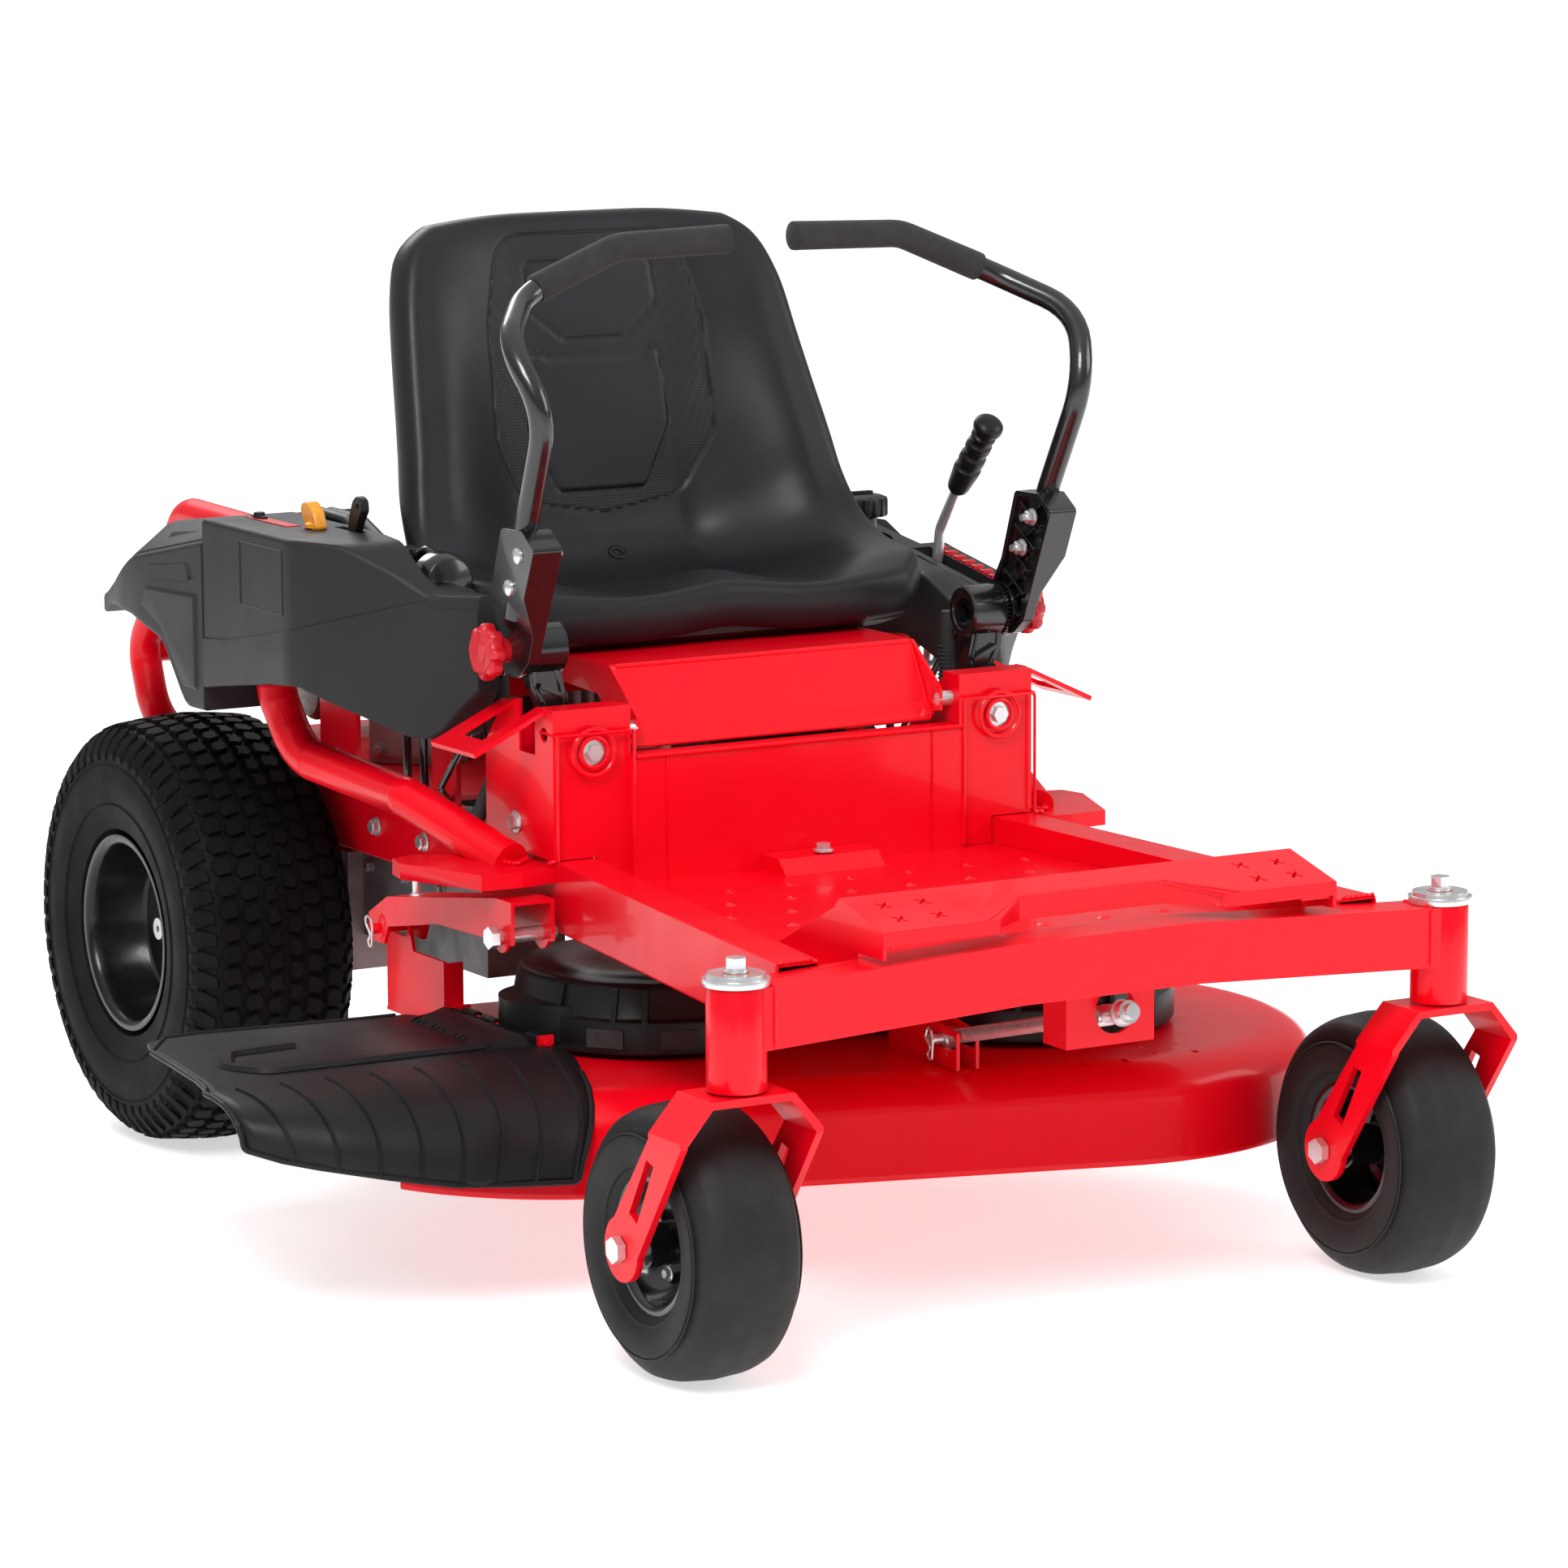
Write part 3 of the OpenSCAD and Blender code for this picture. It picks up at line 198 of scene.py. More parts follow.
MATERIALS = {
    "red_paint": finish(
        "red_powder_coat", (0.82, 0.0004, 0.0105), 0.3, (9.0, (0.76, 0.0004, 0.0095)), (22.0, 0.28, 0.38),
        ("grain", 60.0, 0.025, 0.0015), specular=0.16, coat=0.22, coat_rough=0.07),
    "black_paint": gloss_black("gloss_black_paint", 0.5, 0.5),
    "rim_paint": gloss_black("rim_paint", 0.3, 0.1),
    "zinc": finish(
        "zinc_plate", (0.74, 0.75, 0.76), 0.3, (25.0, (0.66, 0.665, 0.67)), (40.0, 0.24, 0.34),
        ("grain", 300.0, 0.03, 0.0003), metallic=0.8),
    "cast_grey": finish(
        "cast_aluminium", (0.4, 0.41, 0.42), 0.55, (30.0, (0.3, 0.305, 0.31)), (40.0, 0.46, 0.66),
        ("cells", 500.0, 0.25, 0.0006), ("grain", 900.0, 0.25, 0.0006), metallic=0.85),
    "blade_steel": steel("blade_steel", (0.3, 0.3, 0.31), 0.35, 0.55),
    "exhaust_steel": steel("exhaust_steel", (0.2, 0.19, 0.18), 0.45, 0.65),
    "seat_vinyl": vinyl(
        "seat_vinyl", (0.0085, 0.0088, 0.0118), 0.42, (26.0, 0.38, 0.46),
        ("cells", 520.0, 0.1, 0.0004), ("grain", 1500.0, 0.08, 0.0003)),
    "seat_mesh": vinyl(
        "seat_mesh_vinyl", (0.0085, 0.0088, 0.011), 0.5, (26.0, 0.44, 0.55),
        ("cells", 290.0, 0.55, 0.0012, "F1", 0.0), ("grain", 1500.0, 0.14, 0.0003)),
    "body_plastic": finish(
        "moulded_plastic", (0.0125, 0.0127, 0.0137), 0.5, (7.0, (0.0175, 0.0178, 0.019)), (16.0, 0.46, 0.54),
        ("cells", 900.0, 0.08, 0.0003), ("grain", 1800.0, 0.06, 0.0003), specular=0.28),
    "cover_plastic": finish(
        "satin_black_plastic", (0.0045, 0.0045, 0.005), 0.38, (9.0, (0.009, 0.009, 0.0095)),
        (18.0, 0.33, 0.44), ("grain", 1400.0, 0.1, 0.0004), specular=0.3),
    "knob_red": knob("red_knob_plastic", (0.6, 0.002, 0.012), (0.52, 0.002, 0.01)),
    "knob_yellow": knob("yellow_knob_plastic", (0.85, 0.33, 0.012), (0.75, 0.27, 0.01)),
    "grip_foam": finish(
        "grip_foam", (0.011, 0.011, 0.0115), 0.8, (80.0, (0.016, 0.016, 0.0165)), (50.0, 0.78, 0.92),
        ("cells", 1300.0, 0.35, 0.0005), ("grain", 2600.0, 0.3, 0.0004), sheen=0.08),
    "belt_rubber": finish(
        "belt_rubber", (0.016, 0.016, 0.017), 0.7, (120.0, (0.03, 0.03, 0.031)), (60.0, 0.62, 0.8),
        ("grain", 1200.0, 0.3, 0.0005, (1, 1, 4))),
    "tyre_rubber": tyre_rubber("tyre_rubber", 0.0036, 0.08),
    "caster_rubber": tyre_rubber("caster_rubber", 0.0075, 0.28),
    "seat_shell": finish(
        "seat_shell_plastic", (0.014, 0.014, 0.015), 0.4, (9.0, (0.02, 0.02, 0.021)), (18.0, 0.34, 0.5),
        ("grain", 900.0, 0.1, 0.0004)),
    "deflector": finish(
        "deflector_plastic", (0.006, 0.006, 0.0075), 0.46, (9.0, (0.012, 0.012, 0.013)), (14.0, 0.4, 0.52),
        ("cells", 700.0, 0.16, 0.0004), ("grain", 1500.0, 0.1, 0.0003), specular=0.22),
}

# ---------------------------------------------------------------- mesh helpers
# A shape is (list of points in mower millimetres, list of faces as tuples of indices).


def join(*shapes):
    points, faces = [], []
    for more_points, more_faces in shapes:
        start = len(points)
        points += more_points
        faces += [tuple(i + start for i in f) for f in more_faces]
    return points, faces


def mirrored(shape):
    points, faces = shape
    return [(-x, y, z) for x, y, z in points], [tuple(reversed(f)) for f in faces]


def both(shape):
    return join(shape, mirrored(shape))


def pair(make):
    """The shapes that make gives for the side -1 and the side 1."""
    return join(*make(-1), *make(1))


def spokes(n, start=0.0):
    """(cos, sin) of n equal turns, from start degrees."""
    angles = [2 * math.pi * k / n + math.radians(start) for k in range(n)]
    return [(math.cos(a), math.sin(a)) for a in angles]


def loft(rings, closed=True):
    """Skins rings of equal length; closed rings also get an end face each."""
    n = len(rings[0])
    points = [tuple(p) for ring in rings for p in ring]
    faces = []
    for k in range(len(rings) - 1):
        for i in range(n if closed else n - 1):
            j = (i + 1) % n
            faces.append((k * n + i, k * n + j, (k + 1) * n + j, (k + 1) * n + i))
    if closed:
        faces.append(tuple(reversed(range(n))))
        faces.append(tuple((len(rings) - 1) * n + i for i in range(n)))
    return points, faces


# An arc's limits: its least number of turns, the largest share of a side that it takes up, and
# the smallest turn in radians that is rounded at all
PATH_LIMITS = (3, 0.49, 0.01)
OUTLINE_LIMITS = (2, 0.48, 0.02)


def fillet(a, b, c, radius, step, limits):
    """Arc of that radius round corner b, in turns of about step degrees."""
    least, share, straight = limits
    u, v = (b - a).normalized(), (c - b).normalized()
    turn = u.angle(v)
    if turn < straight or radius <= 0:
        return [b]
    trim = min(radius * math.tan(turn / 2), (b - a).length * share, (c - b).length * share)
    radius = trim / math.tan(turn / 2)
    inward = (v - u * u.dot(v)).normalized()
    centre = b - u * trim + inward * radius
    count = max(least, int(math.degrees(turn) / step))
    arc = [turn * k / count for k in range(count + 1)]
    return [centre - inward * radius * math.cos(t) + u * radius * math.sin(t) for t in arc]


def rounded_path(corners, bend, step=9.0):
    """The corner points with each inner corner turned into an arc of radius bend."""
    corners = [Vector(c) for c in corners]
    out = [corners[0]]
    for a, b, c in zip(corners, corners[1:], corners[2:]):
        out += fillet(a, b, c, bend, step, PATH_LIMITS)
    return out + [corners[-1]]


def rounded(outline, radii, step=15.0):
    """A 2-D outline with its corners rounded; radii is one number or one per corner."""
    n = len(outline)
    if not hasattr(radii, "__len__"):
        radii = [radii] * n
    out = []
    for i in range(n):
        a, b, c = (Vector((*outline[k % n], 0)) for k in (i - 1, i, i + 1))
        out += [(p.x, p.y) for p in fillet(a, b, c, radii[i], step, OUTLINE_LIMITS)]
    return out


def frames_along(path):
    """Point, side and up vectors along a path, with no twist."""
    tangents = []
    for i in range(len(path)):
        a = path[max(i - 1, 0)]
        b = path[min(i + 1, len(path) - 1)]
        tangents.append((b - a).normalized())
    side = tangents[0].orthogonal().normalized()
    out = []
    for point, tangent in zip(path, tangents):
        side = (side - tangent * side.dot(tangent)).normalized()
        out.append((point, side, tangent.cross(side)))
    return out


def tube(corners, radius, bend=30.0, n=20, widths=None):
    """A round tube; widths may give a radius for each point along the rounded path, 0 to 1."""
    path = rounded_path(corners, bend)
    total = sum((b - a).length for a, b in zip(path, path[1:]))
    rings, gone = [], 0.0
    for k, (point, side, up) in enumerate(frames_along(path)):
        if k:
            gone += (path[k] - path[k - 1]).length
        r = widths(gone / total) if widths else radius
        rings.append([point + side * r * c + up * r * s for c, s in spokes(n)])
    return loft(rings)


AXES = {
    "x": (Vector((0, 1, 0)), Vector((0, 0, 1)), Vector((1, 0, 0))),
    "y": (Vector((0, 0, 1)), Vector((1, 0, 0)), Vector((0, 1, 0))),
    "z": (Vector((1, 0, 0)), Vector((0, 1, 0)), Vector((0, 0, 1))),
}


def lathe(profile, centre, axis="z", n=64, closed=False):
    """profile: (radius, distance along the axis) pairs. closed joins its last point to its first."""
    u, v, w = AXES[axis]
    centre = Vector(centre)
    points, faces = [], []
    m = len(profile)
    for c, s in spokes(n):
        points += [tuple(centre + (u * c + v * s) * r + w * h) for r, h in profile]
    for k in range(n):
        j = (k + 1) % n
        for i in range(m if closed else m - 1):
            i2 = (i + 1) % m
            faces.append((k * m + i, j * m + i, j * m + i2, k * m + i2))
    return points, faces


def disc(centre, axis, radius, low, high, n=40, top=None):
    """A solid cylinder, or a cone where its top radius is given."""
    u, v, w = AXES[axis]
    centre = Vector(centre)
    ends = ((radius, low), (top or radius, high))
    return loft([[centre + (u * c + v * s) * r + w * h for c, s in spokes(n)] for r, h in ends])


def prism(outline, plane, low, high):
    """A flat plate: outline in plane "xy", "yz" or "xz", from low to high along the third axis."""
    put = {
        "xy": lambda a, b, c: (a, b, c),
        "yz": lambda a, b, c: (c, a, b),
        "xz": lambda a, b, c: (a, c, b),
    }[plane]
    following = [*outline[1:], outline[0]]
    area = sum(a[0] * b[1] - b[0] * a[1] for a, b in zip(outline, following))
    if (area < 0) != (plane == "xz"):
        outline = list(reversed(outline))
    n = len(outline)
    points = [put(a, b, level) for level in (low, high) for a, b in outline]
    sides = [(i, (i + 1) % n, n + (i + 1) % n, n + i) for i in range(n)]
    return points, [tuple(reversed(range(n))), tuple(range(n, 2 * n)), *sides]


def block(low, high):
    (x0, y0, z0), (x1, y1, z1) = low, high
    return prism([(x0, y0), (x1, y0), (x1, y1), (x0, y1)], "xy", z0, z1)


def moved(shape, x, y, z):
    points, faces = shape
    return [(a + x, b + y, c + z) for a, b, c in points], faces


def turned(shape, centre, axis, degrees):
    rotation = Matrix.Rotation(math.radians(degrees), 3, axis)
    centre = Vector(centre)
    points, faces = shape
    return [tuple(rotation @ (Vector(p) - centre) + centre) for p in points], faces


def around(shape, centre, axis, angles):
    return [turned(shape, centre, axis, a) for a in angles]


def hex_head(centre, axis, width, height, washer, flip=False):
    """A chamfered hexagon head on a washer of that radius, standing along the axis."""
    s = -1 if flip else 1
    u, v, w = AXES[axis]
    centre = Vector(centre)
    rings = [
        [centre + (u * c + v * d) * width * r + w * s * h for c, d in spokes(6, 20)]
        for r, h in ((0.5, 2.0), (0.5, 2.0 + height * 0.8), (0.42, 2.0 + height))
    ]
    profile = [(0.5, 0), (washer, 0), (washer, s * 1.6), (washer - 0.6, s * 2.0), (0.5, s * 2.0)]
    return join(loft(rings), lathe(profile, centre, axis, 32))


def weld_bead(points, radius, seed):
    """A rippled weld bead along a line of points; seed shifts its ripples."""
    spacing = 2.2
    path = []
    points = [Vector(p) for p in points]
    for a, b in zip(points, points[1:]):
        count = max(2, int((b - a).length / spacing))
        path += [a.lerp(b, i / count) for i in range(count)]
    path.append(points[-1])
    rings = []
    for k, (point, side, up) in enumerate(frames_along(path)):
        r = radius * (0.86 + 0.2 * math.sin(k * 2.1 + seed))
        if k in (0, len(path) - 1):
            r *= 0.4
        rings.append([point + side * r * c + up * r * s for c, s in spokes(8)])
    return loft(rings)


def carved(shape, *cutters):
    """The shape with the closed cutter shapes cut out of it."""
    scale = 0.01

    def temporary(made):
        mesh = bpy.data.meshes.new("carving")
        mesh.from_pydata([Vector(p) * scale for p in made[0]], [], made[1])
        work = bmesh.new()
        work.from_mesh(mesh)
        bmesh.ops.remove_doubles(work, verts=work.verts, dist=0.0001)
        bmesh.ops.recalc_face_normals(work, faces=work.faces)
        work.to_mesh(mesh)
        work.free()
        obj = bpy.data.objects.new("carving", mesh)
        bpy.context.scene.collection.objects.link(obj)
        return obj

    body = temporary(shape)
    tools = [temporary(c) for c in cutters]
    for tool in tools:
        cut = body.modifiers.new("cut", "BOOLEAN")
        cut.operation = "DIFFERENCE"
        cut.solver = "EXACT"
        cut.object = tool
    graph = bpy.context.evaluated_depsgraph_get()
    result = body.evaluated_get(graph).to_mesh()
    points = [tuple(v.co / scale) for v in result.vertices]
    faces = [tuple(p.vertices) for p in result.polygons]
    body.evaluated_get(graph).to_mesh_clear()
    for obj in [body, *tools]:
        mesh = obj.data
        bpy.data.objects.remove(obj)
        bpy.data.meshes.remove(mesh)
    return points, faces


SHARP = math.radians(35)


def piece(name, shape, material, body="chassis", replaces=(), slot=None, bevel=0.0, solid=0.0, weld=False):
    """Makes a mesh object from a shape and puts it on a CAD body; slot is not used."""
    points, faces = shape
    mesh = bpy.data.meshes.new(name)
    mesh.from_pydata([place(p) for p in points], [], faces)
    obj = bpy.data.objects.new(name, mesh)
    bpy.context.scene.collection.objects.link(obj)
    work = bmesh.new()
    work.from_mesh(mesh)
    if weld:
        bmesh.ops.remove_doubles(work, verts=work.verts, dist=0.05 * MM)
    bmesh.ops.recalc_face_normals(work, faces=work.faces)
    for face in work.faces:
        face.smooth = True
    if not bevel:
        for edge in work.edges:
            if len(edge.link_faces) == 2 and edge.calc_face_angle(0) > SHARP:
                edge.smooth = False
    work.to_mesh(mesh)
    work.free()
    mesh.materials.append(MATERIALS[material])
    if solid:
        thick = obj.modifiers.new("thickness", "SOLIDIFY")
        thick.thickness = solid * MM
        thick.offset = -1
    if bevel:
        add_bevel(obj, bevel)
    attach(obj, body)
    if replaces:
        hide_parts(*replaces)
    return obj


def side_piece(name, side, shape, material, body, replaces=(), **options):
    """A piece of the left side, or its mirror image on the right; its name, its body and the
    node it replaces end with the side."""
    if side == "right":
        shape = mirrored(shape)
    replaces = [f"{node}_{side}" for node in replaces]
    return piece(f"{name}_{side}", shape, material, f"{body}_{side}", replaces, **options)


def add_bevel(obj, width):
    mod = obj.modifiers.new("edge", "BEVEL")
    mod.width = width * MM
    mod.segments = 2
    mod.limit_method = "ANGLE"
    mod.angle_limit = math.radians(30)
    mod.harden_normals = True
    mod.use_clamp_overlap = True
    mod.miter_outer = "MITER_ARC"


# ---------------------------------------------------------------- CAD nodes that stay

SLOTS = {s["node"]: s["material_slot"] for s in frame["record"]["subparts"]}
for node, obj in NODES.items():
    obj.data.materials.clear()
    obj.data.materials.append(MATERIALS[SLOTS[node]])

# Edge widths; a name that ends with _ stands for its left and its right node
BEVELLED = {
    "front_beam": 2.5, "side_rails": 4.0, "foot_plate": 1.0, "floor_pan": 1.0, "towers": 1.2,
    "rear_frame": 1.2, "side_guards": 1.2, "frame_bolts": 0.6, "caster_fork_": 1.6,
    "caster_hardware_": 0.8, "lever_stand_": 1.2, "lap_bar_": 0.7, "lever_knob_": 1.5,
    "seat_base": 1.2, "deck_hangers": 0.8, "lift_arms": 1.2, "lift_link": 0.5, "fuel_cap": 1.0,
    "pto_knob": 1.0, "engine_block": 1.0, "hydro_drives": 5.0, "engine_shroud": 4.0, "muffler": 2.0,
    "air_cleaner": 6.0, "battery": 4.0,
}
for node, width in BEVELLED.items():
    for end in SIDES if node.endswith("_") else [""]:
        merge = NODES[node + end].modifiers.new("merge", "WELD")
        merge.merge_threshold = 0.00001
        add_bevel(NODES[node + end], width)

# ---------------------------------------------------------------- curves and outlines


def spline(points, t):
    """Catmull-Rom curve through points at t from 0 to 1."""
    n = len(points) - 1
    x = min(max(t, 0.0), 1.0) * n
    i = min(int(x), n - 1)
    f = x - i
    p = [Vector(points[min(max(k, 0), n)]) for k in (i - 1, i, i + 1, i + 2)]
    return 0.5 * (
        2 * p[1]
        + (p[2] - p[0]) * f
        + (2 * p[0] - 5 * p[1] + 4 * p[2] - p[3]) * f * f
        + (3 * p[1] - p[0] - 3 * p[2] + p[3]) * f**3
    )


def table(points, t, soften=0.0):
    """Piecewise-linear lookup; soften rounds its corners over that distance."""
    if soften:
        return sum(table(points, t + soften * k / 3) for k in range(-3, 4)) / 7
    if t <= points[0][0]:
        return points[0][1]
    for (t0, v0), (t1, v1) in zip(points, points[1:]):
        if t <= t1:
            return v0 + (v1 - v0) * (t - t0) / (t1 - t0)
    return points[-1][1]


def ease(low, high, x):
    t = min(max((x - low) / (high - low), 0.0), 1.0)
    return t * t * (3 - 2 * t)


def hump(x, width):
    """A bell curve, 1 where x is 0."""
    return math.exp(-((x / width) ** 2))


def line_distance(p, a, b):
    ax, ay = a
    dx, dy = b[0] - ax, b[1] - ay
    t = max(0.0, min(1.0, ((p[0] - ax) * dx + (p[1] - ay) * dy) / (dx * dx + dy * dy)))
    return math.hypot(p[0] - ax - t * dx, p[1] - ay - t * dy)


def outline_distance(p, outline):
    return min(line_distance(p, a, b) for a, b in zip(outline, outline[1:] + outline[:1]))


def inside(p, outline):
    hit = False
    for (x0, y0), (x1, y1) in zip(outline, outline[1:] + outline[:1]):
        if (y0 > p[1]) != (y1 > p[1]) and p[0] < (x1 - x0) * (p[1] - y0) / (y1 - y0) + x0:
            hit = not hit
    return hit


# ---------------------------------------------------------------- seat

# The seat's inner surface: spine points (y, z) at its middle and at its bolsters, and half widths
SEAT_MIDDLE = [
    (754, 690), (800, 692), (870, 682), (930, 676), (980, 684), (1018, 712), (1034, 762),
    (1040, 820), (1050, 900), (1062, 980), (1074, 1038), (1084, 1070),
]
SEAT_BOLSTER = [
    (754, 688), (800, 704), (862, 708), (905, 718), (938, 742), (960, 780), (976, 826),
    (998, 880), (1022, 940), (1044, 1000), (1066, 1046), (1080, 1068),
]
SEAT_WIDTH = [(w, 0) for w in (264, 284, 284, 280, 272, 263, 255, 247, 240, 235, 227, 210)]
SEAT_ACROSS, SEAT_ALONG = 168, 236  # steps of its grid
SEAT_THICK = 54
RIM_STEPS, RIM_BULGE = 11, 17


def symmetric(half):
    """The outline whose half with x > 0 is given from top to bottom."""
    return half + [(-x, z) for x, z in reversed(half) if x]


BACK_PANEL = rounded(symmetric([(112, 1058), (136, 960), (139, 830), (100, 758), (0, 742)]), 38)
UPPER_PANEL = rounded(symmetric([(80, 1028), (84, 976), (40, 940)]), 10)
LOWER_PANEL = rounded(symmetric([(60, 918), (80, 930), (86, 900), (90, 838), (56, 768)]), 10)


def seat_point(u, v):
    """Point of the seat's inner surface for u across and v along, both -1 to 1."""
    t = (v + 1) / 2
    y, z = spline(SEAT_MIDDLE, t).lerp(spline(SEAT_BOLSTER, t), ease(0.36, 0.9, abs(u)))
    if t < 0.35:
        # knee troughs each side of a raised nose, deepest behind the front edge
        z += 9 * (hump(u, 0.16) - hump(abs(u) - 0.42, 0.2)) * hump(y - 800, 62)
    return Vector((u * spline(SEAT_WIDTH, t)[0], y, z))


def seat_grid():
    """Points and normals of the seat's inner surface by (row, column)."""
    points, normals = {}, {}
    for j in range(SEAT_ALONG + 1):
        for i in range(SEAT_ACROSS + 1):
            u, v = 2 * i / SEAT_ACROSS - 1, 2 * j / SEAT_ALONG - 1
            # rounds the corners of the square grid
            u, v = u * math.sqrt(1 - 0.27 * v**4), v * math.sqrt(1 - 0.12 * u**4)
            du = seat_point(min(u + 0.01, 1.0), v) - seat_point(u - 0.01, v)
            dv = seat_point(u, min(v + 0.01, 1.0)) - seat_point(u, v - 0.01)
            points[j, i] = seat_point(u, v)
            normals[j, i] = du.cross(dv).normalized()
    return points, normals


def quilted(p, normal):
    """The point with the back's grooves pressed in, and whether it is on the mesh panel."""
    spot = (p.x, p.z)
    if p.z <= 735 or p.y <= 990 or abs(p.x) >= 160:
        return p, False
    groove = min(
        outline_distance(spot, BACK_PANEL),
        outline_distance(spot, LOWER_PANEL),
        outline_distance(spot, UPPER_PANEL) + 0.8,
    )
    p = p - normal * 2.6 * hump(groove, 1.9)
    if not inside(spot, BACK_PANEL) or inside(spot, LOWER_PANEL):
        return p, False
    mesh = abs(p.x) > 84 or p.z < 800
    return p - normal * 1.2 * ease(0.0, 5.0, outline_distance(spot, BACK_PANEL)), mesh


def make_seat():
    across, along = SEAT_ACROSS, SEAT_ALONG
    grid, normals = seat_grid()
    quilt = [quilted(p, normals[spot]) for spot, p in grid.items()]
    points, mesh_zone = [tuple(p) for p, _ in quilt], [zone for _, zone in quilt]
    front = {spot: k for k, spot in enumerate(grid)}
    behind = {(j, i): grid[j, i] - normals[j, across // 2] * SEAT_THICK for j, i in grid}

    # rim: a half circle from the inner surface's border round to the back surface's
    border = [(0, i) for i in range(across)] + [(j, across) for j in range(along)]
    border += [(along, i) for i in range(across, 0, -1)] + [(j, 0) for j in range(along, 0, -1)]
    count = len(border)
    loops = [[front[spot] for spot in border]]
    for k in range(1, RIM_STEPS + 1):
        angle = math.pi * k / RIM_STEPS
        loops.append(range(len(points), len(points) + count))
        for m, spot in enumerate(border):
            tangent = (grid[border[(m + 1) % count]] - grid[border[m - 1]]).normalized()
            out = tangent.cross(normals[spot]).normalized()
            p = grid[spot].lerp(behind[spot], (1 - math.cos(angle)) / 2)
            points.append(tuple(p + out * RIM_BULGE * math.sin(angle) ** 0.8))
    faces = []
    for a, b in zip(loops, loops[1:]):
        for m in range(count):
            n = (m + 1) % count
            faces.append((a[m], a[n], b[n], b[m]))

    back = dict(zip(border, loops[-1]))
    for spot in grid:
        if spot not in back:
            back[spot] = len(points)
            points.append(tuple(behind[spot]))
    for index in (front, back):
        for j in range(along):
            for i in range(across):
                faces.append((index[j, i], index[j, i + 1], index[j + 1, i + 1], index[j + 1, i]))
    seat = piece("seat_skin", (points, faces), "seat_vinyl", "seat", ["seat_cushion"])
    seat.data.materials.append(MATERIALS["seat_mesh"])
    for polygon in seat.data.polygons:
        if all(v < len(mesh_zone) and mesh_zone[v] for v in polygon.vertices):
            polygon.material_index = 1


def pan_ring(x, y0, y1, z0, z1, r):
    outline = rounded([(-x, y0), (x, y0), (x, y1), (-x, y1)], r, 10)
    return [(a, b, z0 + (z1 - z0) * (b - y0) / (y1 - y0)) for a, b in outline]


make_seat()
# drain ring at the bottom of the bucket
ring = lathe([(5, -3), (5, 1.5), (8, 2.6), (11, 1.5), (11.5, -1)], (0, 0, 0), "z", 32)
piece("seat_drain", moved(turned(ring, (0, 0, 0), "X", 38), 0, 1004, 698), "cover_plastic", "seat")
piece("seat_pan", loft([
    pan_ring(262, 764, 1000, 642, 640, 60),
    pan_ring(262, 764, 1000, 634, 632, 60),
    pan_ring(240, 778, 990, 626.5, 626, 50),
    pan_ring(190, 790, 960, 624.6, 624.6, 40),
]), "seat_shell", "seat", slot="cover_plastic")
# suspension box between the pan and the tilting base
mount = join(block((-150, 760, 606), (150, 930, 619)), block((-120, 745, 612), (120, 762, 619)))
piece("seat_mount", mount, "black_paint", "seat", bevel=2)

# ---------------------------------------------------------------- wheels


def tyre_profile(half, r_out, r_bead, crown, shoulder, extra=()):
    """(radius, offset) pairs of a tyre's outer face from one bead to the other."""
    wall = r_out - r_bead
    one_side = [
        (r_bead - 1, half * 0.74), (r_bead + 3, half * 0.8), (r_bead + 8, half * 0.86),
        (r_bead + 9.5, half * 0.905), (r_bead + 12, half * 0.915), (r_bead + wall * 0.3, half * 0.975),
        (r_bead + wall * 0.45, half), (r_bead + wall * 0.58, half * 0.995), *extra,
        (r_out - shoulder, half * 0.93), (r_out - shoulder * 0.55, half * 0.85),
        (r_out - shoulder * 0.26, half * 0.72), (r_out - crown * 0.8, half * 0.5),
        (r_out - crown * 0.3, half * 0.25), (r_out, 0),
    ]
    profile = one_side + [(r, -x) for r, x in reversed(one_side[:-1])]
    count = 4 * (len(profile) - 1)
    return [tuple(spline(profile, k / count)) for k in range(count + 1)]


def sidewall_lines(centre, lines, width, sunk, raised, n):
    """Thin mould rings on both sidewalls, at the (radius, offset) pairs of lines."""
    return join(*[
        lathe([(r - width, s * (x - sunk)), (r, s * (x + raised)), (r + width, s * (x - sunk))], centre, "x", n)
        for s in (1, -1) for r, x in lines
    ])


def front_tyre(side):
    profile = tyre_profile(62, 139.4, 69, 3.2, 30)
    # fine mould lines on the sidewall and a seam round the middle
    detailed = []
    for r, x in profile:
        ridge = 0.7 * hump(abs(x) - 44, 1.4) if r > 118 else 0.0
        seam = 0.6 * hump(x, 1.2) if r > 130 else 0.0
        detailed.append((min(r + ridge + seam, 139.65), x))
    inner = [(r - 7 if r > 80 else r - 1, x * 0.86) for r, x in reversed(profile)]
    shape = lathe(detailed + inner, FRONT_WHEEL, "x", 120, closed=True)
    side_piece("front_tyre", side, shape, "caster_rubber", "caster_wheel", ["caster_tire"], slot="tyre_rubber")
    lines = sidewall_lines(FRONT_WHEEL, ((112, 61.2), (95, 61.0), (86, 57.8)), 1.1, 1, 0.5, 96)
    side_piece("front_tyre_lines", side, lines, "caster_rubber", "caster_wheel", slot="tyre_rubber")


